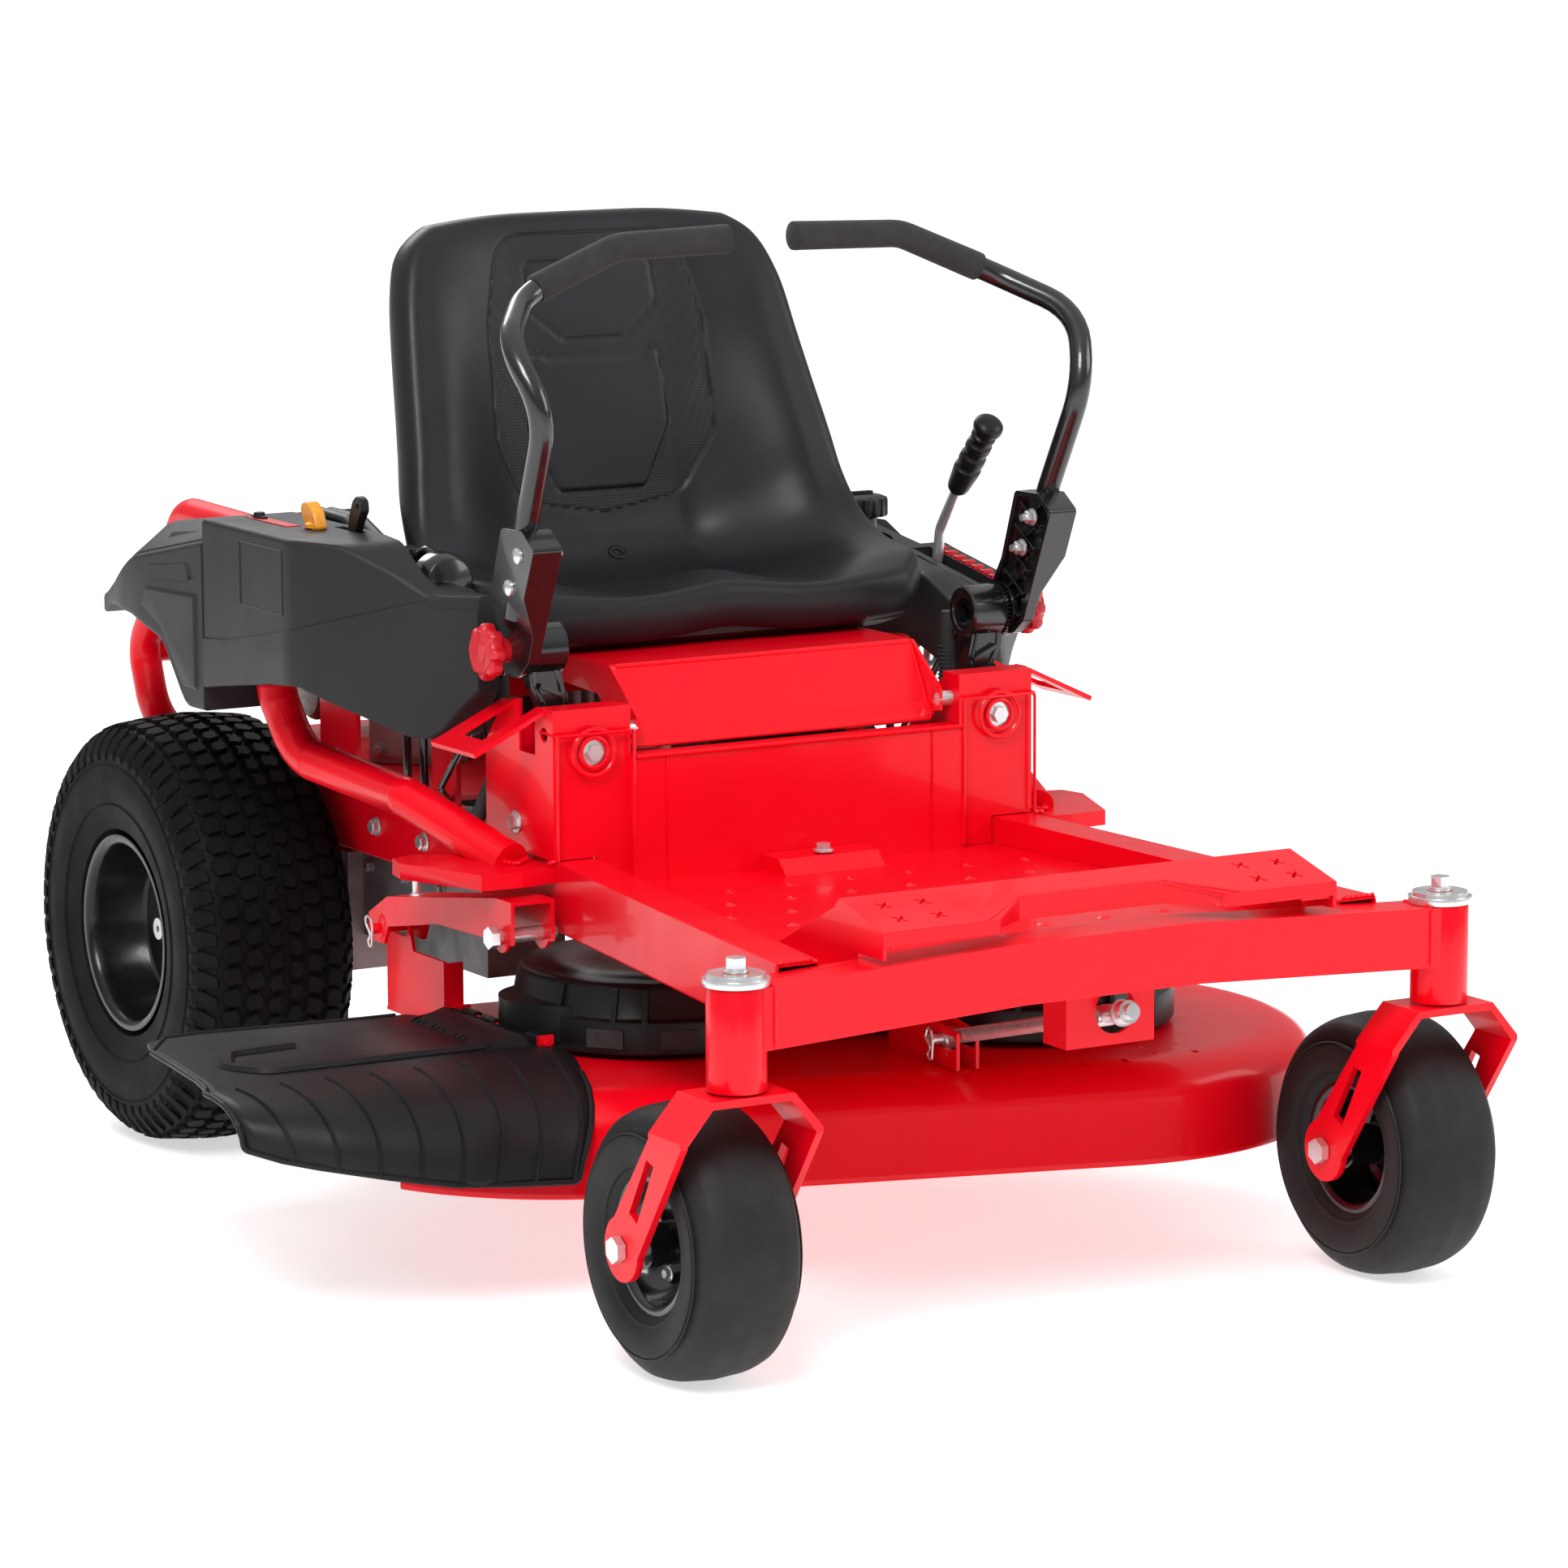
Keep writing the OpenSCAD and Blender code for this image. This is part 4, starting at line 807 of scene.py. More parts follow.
def rim_shape(centre, bead, lip, half, disc_x, hub_r, hub_half):
    """A wheel's rim: its outer face with the barrel, disc and hub, and the same from inside."""
    barrel = [
        (bead - 5, half - 3), (lip - 1.5, half - 1.6), (lip, half - 0.6), (lip + 0.4, half),
        (lip - 1, half + 0.5), (bead - 3.5, half - 0.6), (bead - 6.5, half - 3), (bead - 8, half - 8),
        (bead - 10, half - 16), (bead - 16, disc_x + 8), (bead - 20, disc_x + 3), (bead * 0.62, disc_x - 2),
        (bead * 0.5, disc_x - 7), (hub_r + 6, disc_x - 9), (hub_r + 1.5, disc_x - 8), (hub_r, disc_x - 5),
        (hub_r, hub_half), (hub_r - 2, hub_half + 1.5), (10.5, hub_half + 1.5),
    ]
    back = [
        (10.5, -hub_half - 1.5), (hub_r - 2, -hub_half - 1.5), (hub_r, -hub_half), (hub_r, disc_x - 16),
        (bead * 0.5, disc_x - 14), (bead * 0.62, disc_x - 6), (bead - 20, disc_x - 2), (bead - 13, disc_x - 6),
        (bead - 10, -half + 16), (bead - 6.5, -half + 3), (bead - 3.5, -half + 0.6), (lip - 1, -half - 0.5),
        (lip + 0.4, -half), (lip, -half + 0.6), (bead - 5, -half + 3),
    ]
    return join(lathe(barrel, centre, "x", 96), lathe(back, centre, "x", 96))


def wheel_nuts(centre, out, circle, width, height, washer, count, start):
    """Hexagon heads on a circle of that radius, standing out from the wheel's middle."""
    first = hex_head(Vector(centre) + Vector((out, circle, 0)), "x", width, height, washer)
    return join(*around(first, centre, "X", [360 / count * k + start for k in range(count)]))


def front_rim(side):
    rim = rim_shape(FRONT_WHEEL, 68, 70, 48, 16, 22, 55)
    side_piece("front_rim", side, rim, "black_paint", "caster_wheel", ["caster_rim"])
    nuts = wheel_nuts(FRONT_WHEEL, 18, 37, 11, 5, 8, 4, 20)
    side_piece("front_rim_bolts", side, nuts, "zinc", "caster_wheel")


# One row of tread blocks from the middle outwards: outline in (offset, arc length before
# TREAD_SQUEEZE), place along the row in pitches, and height
TREAD = [
    ([(3, -9), (17, -13), (22, -5), (19, 9), (5, 13), (7, 2)], 0, 6.4),
    ([(27, -12), (44, -16), (50, -6), (46, 7), (33, 12), (28, 4)], 0.25, 6.4),
    ([(54, -14), (70, -16), (76, -4), (72, 9), (58, 12), (54, 2)], 0.5, 6.2),
    ([(79, -11), (93, -15), (99.5, -9), (99.5, 9), (92, 14), (80, 7)], 0.2, 5.0),
]
TREAD_ROWS, TREAD_SQUEEZE = 60, 0.8
TREAD_RADIUS = 245.0


def rear_tyre(side):
    cx, cy, cz = REAR_WHEEL
    profile = tyre_profile(101, 242.5, 112, 5, 26, [(215, 97.5)])
    inner = [(r - 10 if r > 125 else r - 1, x * 0.88) for r, x in reversed(profile)]
    carcass = lathe(profile + inner, REAR_WHEEL, "x", 144, closed=True)
    upper = [(x, r) for r, x in profile if r > 205]

    def crown(x):
        for (xa, ra), (xb, rb) in zip(upper, upper[1:]):
            if min(xa, xb) <= x <= max(xa, xb) and xa != xb:
                return ra + (rb - ra) * (x - xa) / (xb - xa)
        return 205.0

    def lug(outline, turn, height):
        """A tread block, narrowing upwards from the carcass."""
        middle_x = sum(x for x, _ in outline) / len(outline)
        middle_arc = sum(arc for _, arc in outline) / len(outline)
        rings = []
        for h, share in ((-3.0, 1.0), (height * 0.72, 0.97), (height, 0.88)):
            ring = []
            for x, arc in outline:
                x, arc = middle_x + (x - middle_x) * share, middle_arc + (arc - middle_arc) * share
                r = crown(x) + h
                # blocks on the shoulder stand out sideways too
                lean = ease(70, 98, abs(x)) * h * 0.5
                a = turn + arc / TREAD_RADIUS
                ring.append((cx + x + math.copysign(lean, x), cy + r * math.sin(a), cz + r * math.cos(a)))
            rings.append(ring)
        return loft(rings)

    pitch = 2 * math.pi / TREAD_ROWS
    lugs = []
    for row in range(TREAD_ROWS):
        for s, shift in ((1, 0), (-1, 0.5)):
            for outline, along, height in TREAD:
                outline = [(x * s, arc * TREAD_SQUEEZE) for x, arc in outline]
                lugs.append(lug(outline, (row + shift + along) * pitch, height))
    side_piece("rear_tyre", side, carcass, "tyre_rubber", "rear_wheel", ["rear_tire"])
    side_piece("rear_tread", side, join(*lugs), "tyre_rubber", "rear_wheel")
    lines = sidewall_lines(REAR_WHEEL, ((196, 100.6), (150, 99.4), (132, 93.2)), 1.6, 2, 0.7, 120)
    side_piece("rear_tyre_lines", side, lines, "tyre_rubber", "rear_wheel")


def rear_rim(side):
    rim = rim_shape(REAR_WHEEL, 110, 114, 91, 18, 38, 24)
    side_piece("rear_rim", side, rim, "rim_paint", "rear_wheel", ["rear_rim"], slot="black_paint")
    nuts = wheel_nuts(REAR_WHEEL, 8, 52, 20, 10, 12.5, 5, 15)
    side_piece("rear_lug_nuts", side, nuts, "zinc", "rear_wheel")
    cap = lathe([(38, 22), (37, 30), (31, 33), (18, 33.5), (16, 38), (0.5, 38.5)], REAR_WHEEL, "x", 40)
    side_piece("rear_hub_cap", side, cap, "black_paint", "rear_wheel")


for side in SIDES:
    front_tyre(side)
    front_rim(side)
    rear_tyre(side)
    rear_rim(side)

# ---------------------------------------------------------------- moulded bodywork

INNER_X = 304.0  # inner face of both consoles
FUEL_FILLER = (342, 1050)
PTO_KNOB = (400, 960)  # on the right side


def corner(cx, cz, r, start, n=5):
    """A quarter circle turning clockwise from start degrees."""
    angles = [math.radians(start - 90 * k / (n - 1)) for k in range(n)]
    return [(cx + r * math.cos(a), cz + r * math.sin(a)) for a in angles]


def pod(ys, outer, inner, roof, floor, seam=None):
    """Closed moulding skinned along y; roof(y, x_in, x_out) gives (x, z) points from the inner
    edge to the outer edge. With a seam its wall steps in above the height seam(y)."""
    rings = []
    for y in ys:
        xo, xi = outer(y), inner
        top = roof(y, xi, xo)
        zi, zo = top[0][1], top[-1][1]
        zb = min(floor(y), zo - 24, zi - 24)
        zs = max(zb + 6, min(seam(y), zo - 14)) if seam else zb + 8
        step = 2.2 if seam else 0.0
        r = min(7.0, (xo - xi) * 0.2)
        ring = [(xi, zb + 4), *corner(xi + r, zi - r, r, 180), *top[1:-1]]
        ring += corner(xo - step - r, zo - r, r, 90)
        ring += [(xo - step, zs + 1.6), (xo, zs), (xo, zb + 4)]
        ring += [(xo - 1.2, zb + 1.2), (xo - 4, zb), (xi + 4, zb), (xi + 1.2, zb + 1.2)]
        rings.append([(x, y, z) for x, z in ring])
    return loft(rings)


def steps(low, high, step, *knots):
    """Even values from low to high, at most step apart, and the knots."""
    count = math.ceil((high - low) / step)
    return sorted({round(low + (high - low) * k / count, 3) for k in range(count + 1)} | set(knots))


POD_OUT = [(712, 330), (800, 400), (885, 470), (1110, 470)]
POD_END = [(880, 597), (939, 591), (1074, 572), (1110, 566)]
RIGHT_TOP = [(700, 704), (760, 702), (790, 724), (838, 752), (888, 756), (1110, 757)]
RIGHT_LOW = [(700, 618), (740, 565), (752, 548), (774, 545), (849, 579), (880, 596), *POD_END[1:]]
RIGHT_SEAM = [(700, 690), (760, 697), (892, 655), (1049, 627), (1110, 622)]
LEFT_LOW = [(700, 618), (740, 565), (752, 550), (810, 576), *POD_END]
LEFT_SEAM = [(700, 622), (892, 628), (1110, 618)]


def pod_outer(y):
    return table(POD_OUT, y, 14 if y > 730 else 0)


def right_roof(y, xi, xo):
    z = table(RIGHT_TOP, y, 7)
    low = min(z, table([(700, 704), (800, 706), (1110, 716)], y))
    return [(xi, low), (min(xi + 34, xo - 14), low), (min(xi + 52, xo - 11), z), (xo, z)]


right_pod = carved(
    pod(steps(712, 1109.5, 9, 760.0, 888.0), pod_outer, INNER_X, right_roof,
        lambda y: table(RIGHT_LOW, y, 6), lambda y: table(RIGHT_SEAM, y, 5)),
    disc((*PTO_KNOB, 0), "z", 6.5, 690, 800, 24),
    block((365, 900, 739), (377, 962, 775)),
    # long shallow tray for the slot cover
    block((404, 985, 754), (424, 1092, 775)),
)
piece("console_right_body", mirrored(right_pod), "body_plastic", replaces=["console_right"], weld=True)
# thin outline of the blank label field on the tower's outer face
label = [(-467.9, y, z) for y, z in ((905, 742), (1012, 742), (1012, 672), (905, 672), (905, 742))]
edges = [tube([a, b], 0.8, 1, 6) for a, b in zip(label, label[1:])]
piece("console_label_edge", join(*edges), "cover_plastic")
piece("console_slot_strip", block((-422, 987, 754.2), (-406, 1090, 757.6)), "knob_red", bevel=0.6)
slot_knob = join(disc((-414, 1074, 757), "z", 7.5, 0, 7, 24, 6), block((-418, 1060, 757), (-410, 1086, 760)))
piece("console_slot_knob", slot_knob, "cover_plastic", bevel=0.8)


def left_roof(y, xi, xo):
    zi = table([(700, 634), (780, 648), (839, 672), (960, 684), (1110, 703)], y, 9)
    zm = table([(700, 640), (837, 656), (960, 677), (1110, 697)], y, 9)
    zo = table([(700, 640), (865, 645), (974, 650), (1110, 658)], y, 9)
    a, b, c = min(xi + 36, xo - 26), min(xi + 62, xo - 20), min(400.0, xo - 12)
    return [(xi, zi), (a, zi), (b, zm), (c, zm), (xo, zo)]


left_pod = carved(
    pod(steps(712, 1109.5, 9), pod_outer, INNER_X, left_roof,
        lambda y: table(LEFT_LOW, y, 6), lambda y: table(LEFT_SEAM, y, 5)),
    block((374, 824, 500), (396, 971, 760)),
    disc((*FUEL_FILLER, 0), "z", 44, 640, 780, 48),
)
piece("console_left_body", left_pod, "body_plastic", replaces=["console_left"], weld=True)


def slot_z(y):
    """Height of the left console's top along the lift lever's slot."""
    return 655.5 + (y - 837) * 0.171


def slot_bar(x0, x1, y0, y1, thick):
    section = [(x0, 0.4), (x1, 0.4), (x1, thick), (x0, thick)]
    return loft([[(x, y, slot_z(y) + h) for x, h in section] for y in (y0, y1)])


piece("height_slot_plate", join(
    slot_bar(364, 373.4, 812, 980, 3), slot_bar(396.6, 424, 812, 980, 3),
    slot_bar(364, 424, 808, 823.5, 3.4), slot_bar(364, 424, 971.5, 986, 3.4),
), "cover_plastic", bevel=0.7)
tooth_ys = [836 + 19.5 * k for k in range(7)]
teeth = [block((397, y, slot_z(y) + 1), (411, y + 9, slot_z(y) + 8)) for y in tooth_ys]
piece("height_slot_teeth", join(*teeth), "knob_red", bevel=1.2)

RIGHT_FENDER_TOP = [(1100, 757), (1308, 731), (1378, 676), (1428, 641)]
LEFT_FENDER_TOP = [(1100, 701), (1308, 687), (1378, 664), (1428, 641)]
FENDER_LOW = [(1100, 540), (1161, 539), (1220, 606), (1307, 626), (1428, 631)]
FENDER_OUT = [(1100, 469), (1290, 470), (1340, 466), (1428, 448)]


def fender(top, drops, lower, crest):
    """Fender with its roof line top, falling by drops to the outer edge. lower brings its
    shoulder block down, and crest limits the wheel-arch panel's height."""
    def roof(y, xi, xo):
        z = table(top, y, 8)
        drop = table(drops, y)
        return [(xi, z), (xo - 62, z), (xo - 48, z - 3), (xo - 8, z - drop), (xo, z - drop - 3)]

    def inner_roof(y, xi, xo):
        z = table(top, y)
        return [(xi, z), (xi + 20, z - 0.4), (xo - 10, z - 0.4), (xo, z - 0.6)]

    def floor(y):
        return min(table(FENDER_LOW, y, 9), table(top, y) - 8)

    return join(
        pod(steps(1111, 1427, 9), lambda y: table(FENDER_OUT, y, 12), 363.0, roof, floor),
        pod(steps(1111, 1189, 13), lambda y: 372.0, 264.0, inner_roof, lambda y: 700.0 - lower),
        # raised chamfered block on the shoulder
        moved(loft([
            [(452, 1142, 712), (452, 1262, 700), (472, 1262, 672), (472, 1142, 684)],
            [(440, 1150, 738), (440, 1250, 726), (470.5, 1252, 690), (470.5, 1150, 702)],
        ]), 0, 0, -lower),
        # smooth wheel-arch panel
        loft([
            [(466, y, min(z, crest)) for y, z in
             ((1122, 556), (1168, 556), (1226, 618), (1286, 640), (1270, 672), (1122, 676))],
            [(472, y, min(z, crest - 10)) for y, z in
             ((1130, 566), (1160, 566), (1220, 626), (1268, 644), (1258, 662), (1130, 666))],
        ]),
    )


piece("fender_shells", join(
    mirrored(fender(RIGHT_FENDER_TOP, [(1100, 20), (1308, 34), (1428, 2)], 0, 676)),
    fender(LEFT_FENDER_TOP, [(1100, 40), (1308, 28), (1428, 2)], 54, 650),
), "body_plastic", replaces=["fenders"], bevel=1.2)

# ---------------------------------------------------------------- mowing deck

DECK_LEFT, DECK_RIGHT = Vector((262, 500)), Vector((-262, 650))
DECK_RADIUS = 287


def deck_plan(r):
    """Two half circles of radius r round the blade spindles, joined by straight sides."""
    line = DECK_RIGHT - DECK_LEFT
    start = math.atan2(line.x, -line.y)
    out = []
    for centre, begin in ((DECK_LEFT, start), (DECK_RIGHT, start + math.pi)):
        for degrees in range(0, 181, 4):
            a = begin + math.radians(degrees)
            out.append((centre.x + r * math.cos(a), centre.y + r * math.sin(a)))
    return out


# The pressed shell's section: (radius past DECK_RADIUS, z), from the top down and back up inside
SHELL = [
    (-60, 222), (-48, 221.7), (-38, 220), (-29, 216.8), (-20, 212.2), (-12.5, 206.4), (-7, 200),
    (-3.4, 193), (-1.8, 186), (-1.5, 126), (0, 122), (0, 117), (-1.2, 115.2), (-4, 115.2),
    (-5.4, 118), (-5.6, 186), (-9, 197), (-22, 207), (-38, 214), (-64, 217.8),
]
shell = carved(
    loft([[(x, y, z) for x, y in deck_plan(DECK_RADIUS + r)] for r, z in SHELL]),
    block((-620, 530, 100), (-400, 835, 260)),
    disc((*DECK_LEFT, 0), "z", 36, 205, 235),
    disc((*DECK_RIGHT, 0), "z", 36, 205, 235),
)
piece("deck_shell_skin", shell, "red_paint", "deck", ["deck_shell"], weld=True)
baffle = prism(rounded([(-398, 512), (-392, 512), (-392, 536), (-398, 536)], 2), "xy", 116, 214)
chute_bead = weld_bead([(-399, 560, 221), (-399, 700, 221)], 1.6, 3)
piece("deck_chute_edge", join(baffle, chute_bead), "red_paint", "deck")
# pressed rivet marks across the deck's front
rivets = [
    lathe([(4.5, 0), (3, 0.9), (0.3, 1.3)], (-60 + 44 * k, y + 8 * (k % 2), 221.6), "z", 14)
    for k in range(9) for y in (262, 296)
]
piece("deck_rivets", join(*rivets), "red_paint", "deck")

COVER = [
    (160, 229), (164.5, 228.6), (166, 230.5), (166, 260), (165.2, 263.6), (162.6, 265.8),
    (159.5, 266.3), (157.5, 269), (152.2, 296), (150.4, 300), (146.4, 302.6), (141, 303.2),
    (122, 303.4), (119, 305.4), (70, 305.6), (66, 303.6), (0.4, 303.6),
]
RIGHT_COVER, LEFT_COVER = (-147, 651, 0), (225, 500, 0)


def belt_cover(centre, start):
    """A belt cover with ribs that step from its lower tier up the cone."""
    rib = prism([(150, 266), (166.6, 232), (166.6, 262), (155, 298), (150.5, 299)], "xz", -3, 3)
    angles = [a + start for a in (200, 224, 236, 262, 286, 20, 60, 110)]
    return join(lathe(COVER, centre, "z", 96), *around(moved(rib, *centre), centre, "Z", angles))


covers = join(
    belt_cover(RIGHT_COVER, 0), belt_cover(LEFT_COVER, 12),
    prism(deck_plan(72), "xy", 236, 276),
    prism(rounded([(-120, 560), (150, 470), (190, 620), (-90, 720)], 30), "xy", 232, 290),
)
piece("belt_cover_shells", covers, "cover_plastic", "deck", ["spindle_covers"])
window = moved(block((-12, -167.2, 236), (30, -165.2, 256)), *RIGHT_COVER)
piece("belt_cover_windows", join(*around(window, RIGHT_COVER, "Z", (-52, -24))), "belt_rubber", "deck")
SCREW_CIRCLE = 158
screws = [
    moved(hex_head((SCREW_CIRCLE * math.cos(a), SCREW_CIRCLE * math.sin(a), 266.4), "z", 12, 4, 9), *LEFT_COVER)
    for a in (-2.4, -0.6, 1.4)
]
piece("belt_cover_screws", join(*screws), "zinc", "deck")

# ---------------------------------------------------------------- discharge deflector

DEFL_INNER = [(1, 317), (1.25, 345), (1.5, 361), (1.75, 378), (2, 398)]
DEFL_OUTER = [(0, 700), (0.4, 716), (1, 735), (1.6, 734), (2, 729)]
DEFL_REAR = [(317, 764), (366, 764), (376, 796), (423, 797), (645, 824), (690, 800), (708, 722), (735, 560)]
DEFL_LOW_Y = [(398, 369), (421, 376), (472, 383), (508, 381), (567, 397), (641, 420), (690, 445), (730, 470)]
DEFL_LOW_Z = [(398, 140), (421, 140), (472, 143), (508, 145), (567, 155), (641, 170), (690, 180), (730, 194)]
DEFL_FOLD_Y, DEFL_TOP_Z = 548.0, 240.0


def defl_point(c, v, lift=0.0):
    """c runs 0 to 1 outwards, v 0 to 1 over the top from the rear, 1 to 2 down the front."""
    x_in, x_out = table(DEFL_INNER, v), table(DEFL_OUTER, v)
    if v <= 1:
        x = x_in + (x_out - x_in) * c
        rear = table(DEFL_REAR, max(x_in, x))
        return (-x, rear + (DEFL_FOLD_Y - rear) * v, DEFL_TOP_Z - 2.0 * hump(v - 1, 0.12) + lift)
    low_x = 398 + (729 - 398) * c
    y, z = table(DEFL_LOW_Y, low_x), table(DEFL_LOW_Z, low_x)
    t = (v - 1) * math.pi / 2
    power = 0.72
    y = DEFL_FOLD_Y - (DEFL_FOLD_Y - y + lift) * math.sin(t) ** power
    z = z + (DEFL_TOP_Z - 2 - z + lift) * math.cos(t) ** power
    return (-(x_in + (x_out - x_in) * c), y, z)


def defl_edge(*spots):
    return [defl_point(c, v) for c, v in spots]


cs = sorted({0.11, 0.14, 0.255, 0.785, 0.89, 0.935, *[k / 24 for k in range(25)]})
vs = [0, 0.04, 0.1, 0.3, 0.5, 0.7, 0.85, 0.92, 0.96, 1.0, 1.02, 1.05, 1.1, 1.16, 1.24, 1.32, 1.42, 1.52,
      1.62, 1.72, 1.81, 1.88, 1.94, 1.98, 2.0]
sheet = loft([[defl_point(c, v) for c in cs] for v in vs], closed=False)
piece("deflector_skin", sheet, "deflector", "deflector", ["deflector"], slot="body_plastic", solid=4.0)
details = []
for k in range(8):
    rings = []
    for v in [1.0 + 0.05 * i for i in range(21)]:
        c = max(0, 0.06 + 0.122 * k - 0.045 * (v - 1))
        foot, crest = Vector(defl_point(c, v)), Vector(defl_point(c, v, 3.0))
        half_foot, half_crest = Vector((2.4, 0, 0)), Vector((1.2, 0, 0))
        rings.append([foot - half_foot, crest - half_crest, crest + half_crest, foot + half_foot])
    details.append(loft(rings))
# rolled edges round the outer end, the lower edge, the inner end and the rear
rolled = defl_edge(
    *[(1, v) for v in (0.0, 0.2, 0.5, 0.8, 1.0, 1.1, 1.3, 1.5, 1.7, 1.9, 2.0)],
    *[(c, 2.0) for c in (0.9, 0.8, 0.6, 0.4, 0.2, 0.0)],
    *[(0.0, v) for v in (1.92, 1.82, 1.7, 1.55, 1.4, 1.25)],
)
rear = defl_edge(*[(c, 0.0) for c in (0.2, 0.3, 0.5, 0.7, 0.785, 0.89, 1.0)])
details += [tube(rolled, 3.2, 8, 8), tube(rear, 2.6, 6, 8)]
# raised ridge on the top plate
ridge = [(-372, 596), (-640, 600), (-668, 640), (-640, 700), (-560, 706)]
path = rounded_path([(x, y, 240.5) for x, y in ridge], 24)
rings = []
for point, side, up in frames_along(path):
    across = up if abs(side.z) >= 0.9 else side
    across = Vector((across.x, across.y, 0)).normalized()
    rings.append([point + across * w + Vector((0, 0, h)) for w, h in ((-9, 0), (-5, 5), (5, 5), (9, 0))])
details.append(loft(rings))
piece("deflector_ribs", join(*details), "deflector", "deflector", slot="body_plastic")
knuckle_tube = [(4.2, 0), (7.6, 0), (8, 0.6), (8, 29.4), (7.6, 30), (4.2, 30)]
knuckle_rib = rounded([(-331, 237), (-331, 246), (-345, 250), (-392, 243), (-392, 238)], 3)
knuckles = []
for y in (584, 636, 688, 733):
    knuckles.append(lathe(knuckle_tube, (-325, y, DEFL_TOP_Z), "y", 32, closed=True))
    knuckles += [prism(knuckle_rib, "xz", y + dy - 2, y + dy + 2) for dy in (3, 15, 27)]
knuckles.append(loft([
    [(-340, 580, 239), (-340, 760, 239), (-352, 760, 252), (-352, 580, 252)],
    [(-394, 584, 239), (-394, 756, 239), (-380, 750, 247), (-380, 590, 247)],
]))
piece("deflector_hinge_knuckles", join(*knuckles), "deflector", "deflector", slot="body_plastic", bevel=0.6)

# ---------------------------------------------------------------- steering levers

LAP_BAR = [
    (43, 675, 1076), (176, 675, 1073), (291, 673, 1026), (353, 590, 985), (332, 546, 912), (325, 607, 787),
    (321, 640, 690),
]
BRACKET = rounded(
    [(566, 769), (593, 787), (640, 786), (668, 708), (700, 660), (697, 636),
     (676, 624), (644, 625), (622, 642)],
    [6, 5, 8, 26, 14, 12, 12, 12, 12], 12)
BRACKET_HOLLOW = rounded(
    [(572, 766), (594, 781), (635, 780), (663, 706), (693, 658), (691, 640),
     (674, 630), (646, 631), (628, 645)],
    [4, 4, 6, 24, 12, 10, 10, 10, 10], 12)
STAND = rounded(
    [(238, 536), (274, 536), (277, 560), (283, 586), (296, 610), (298, 632),
     (262, 640), (254, 604), (246, 570)],
    [3, 3, 20, 30, 20, 6, 6, 20, 20], 12)
STAND_INNER = rounded(
    [(243, 541), (270, 541), (272, 562), (278, 588), (290, 611), (292, 630),
     (267, 636), (259, 602), (251, 568)],
    [3, 3, 20, 30, 20, 4, 4, 20, 20], 12)
GRIP_LENGTH, GRIP_END = 262, 5


def on_hub(profile, x, n):
    return lathe(profile, (x, *LEVER_HUB), "x", n)


def bracket():
    """The lap bar's ribbed bracket, hollow towards the middle of the mower, with its hub plug."""
    body = carved(
        prism(BRACKET, "yz", 303, 338), prism(BRACKET_HOLLOW, "yz", 296, 311.5),
        prism([(314, 600), (345, 600), (345, 720), (338.5, 716), (317.5, 672)], "xz", 540, 730),
    )
    ribs = []
    for k in range(5):
        y, z = 655 - 11.2 * k, 656 + 26 * k
        for rise in (12, -12):
            ribs.append(prism(
                [(y - 19, z - rise), (y - 19, z + 2.6 - rise), (y + 22, z + 2.6 + rise), (y + 22, z + rise)],
                "yz", 304.5, 312.5))
    plug = on_hub([(28, 0), (30.5, 0.6), (30.5, 6), (29.5, 7), (9.2, 7)], 302.6, 56)
    return join(body, *ribs, plug)


def bracket_bolts():
    """A nut inside the bracket and a domed head outside it, at both bolts."""
    made = []
    for y, z in ((601, 760), (622, 724)):
        made.append(hex_head((302, y, z), "x", 15, 8, 9.5, flip=True))
        made.append(lathe([(0.3, -15), (4, -15), (4, -9)], (302, y, z), "x", 20))
        made.append(lathe([(9, 0), (8.6, 2.5), (6, 4.6), (0.3, 5.4)], (338, y, z), "x", 28))
    return join(*made)


def grip_radius(t):
    end = min(t, 1 - t) * GRIP_LENGTH
    r = 16.0 - 0.8 * math.sin(math.pi * t)
    return r * math.sqrt(max(0.12, 1 - (1 - end / GRIP_END) ** 2)) if end < GRIP_END else r


def grip():
    a, b = (Vector(p) for p in LAP_BAR[1:3])
    along = (b - a).normalized()
    path = [(37, 675, 1076), (41, 675, 1075.9), (45, 675, 1075.8), (50, 675, 1075.8), (70, 675, 1075.3), a,
            a.lerp(b, 0.78), b - along * 22, b - along * 17, b - along * 13]
    return tube(path, 16, 60, 28, widths=grip_radius)


def lever_stand():
    edge = []
    for p, q in zip(STAND_INNER, STAND_INNER[1:] + STAND_INNER[:1]):
        if math.dist(p, q) > 1:
            edge.append(tube([(p[0], 657, p[1]), (q[0], 657, q[1])], 2.2, 1, 6))
    ribs = []
    for k in range(3):
        x, z = 4 * k, 22 * k
        ribs.append(prism(
            [(248 + x, 556 + z), (250 + x, 552 + z), (284 + x / 2, 566 + z), (282 + x / 2, 570 + z)],
            "xz", 650, 658))
    teeth = around(block((297, 670.6, 676.5), (302.5, 673.4, 681)), (300, *LEVER_HUB), "X", range(0, 360, 9))
    hub = on_hub([(9.2, -22), (9.2, -14), (15, -14), (16, -21), (21, -22), (21.8, -24), (26.5, -24.5),
                  (28.5, -22.5), (28.5, 18), (27, 20)], 279, 56)
    boss = lathe([(6.2, 0), (19, 0), (21, 1.5), (21, 24)], (254, 646, 545), "y", 40)
    return join(prism(STAND, "xz", 657, 671), *edge, *ribs, hub, *teeth, boss)


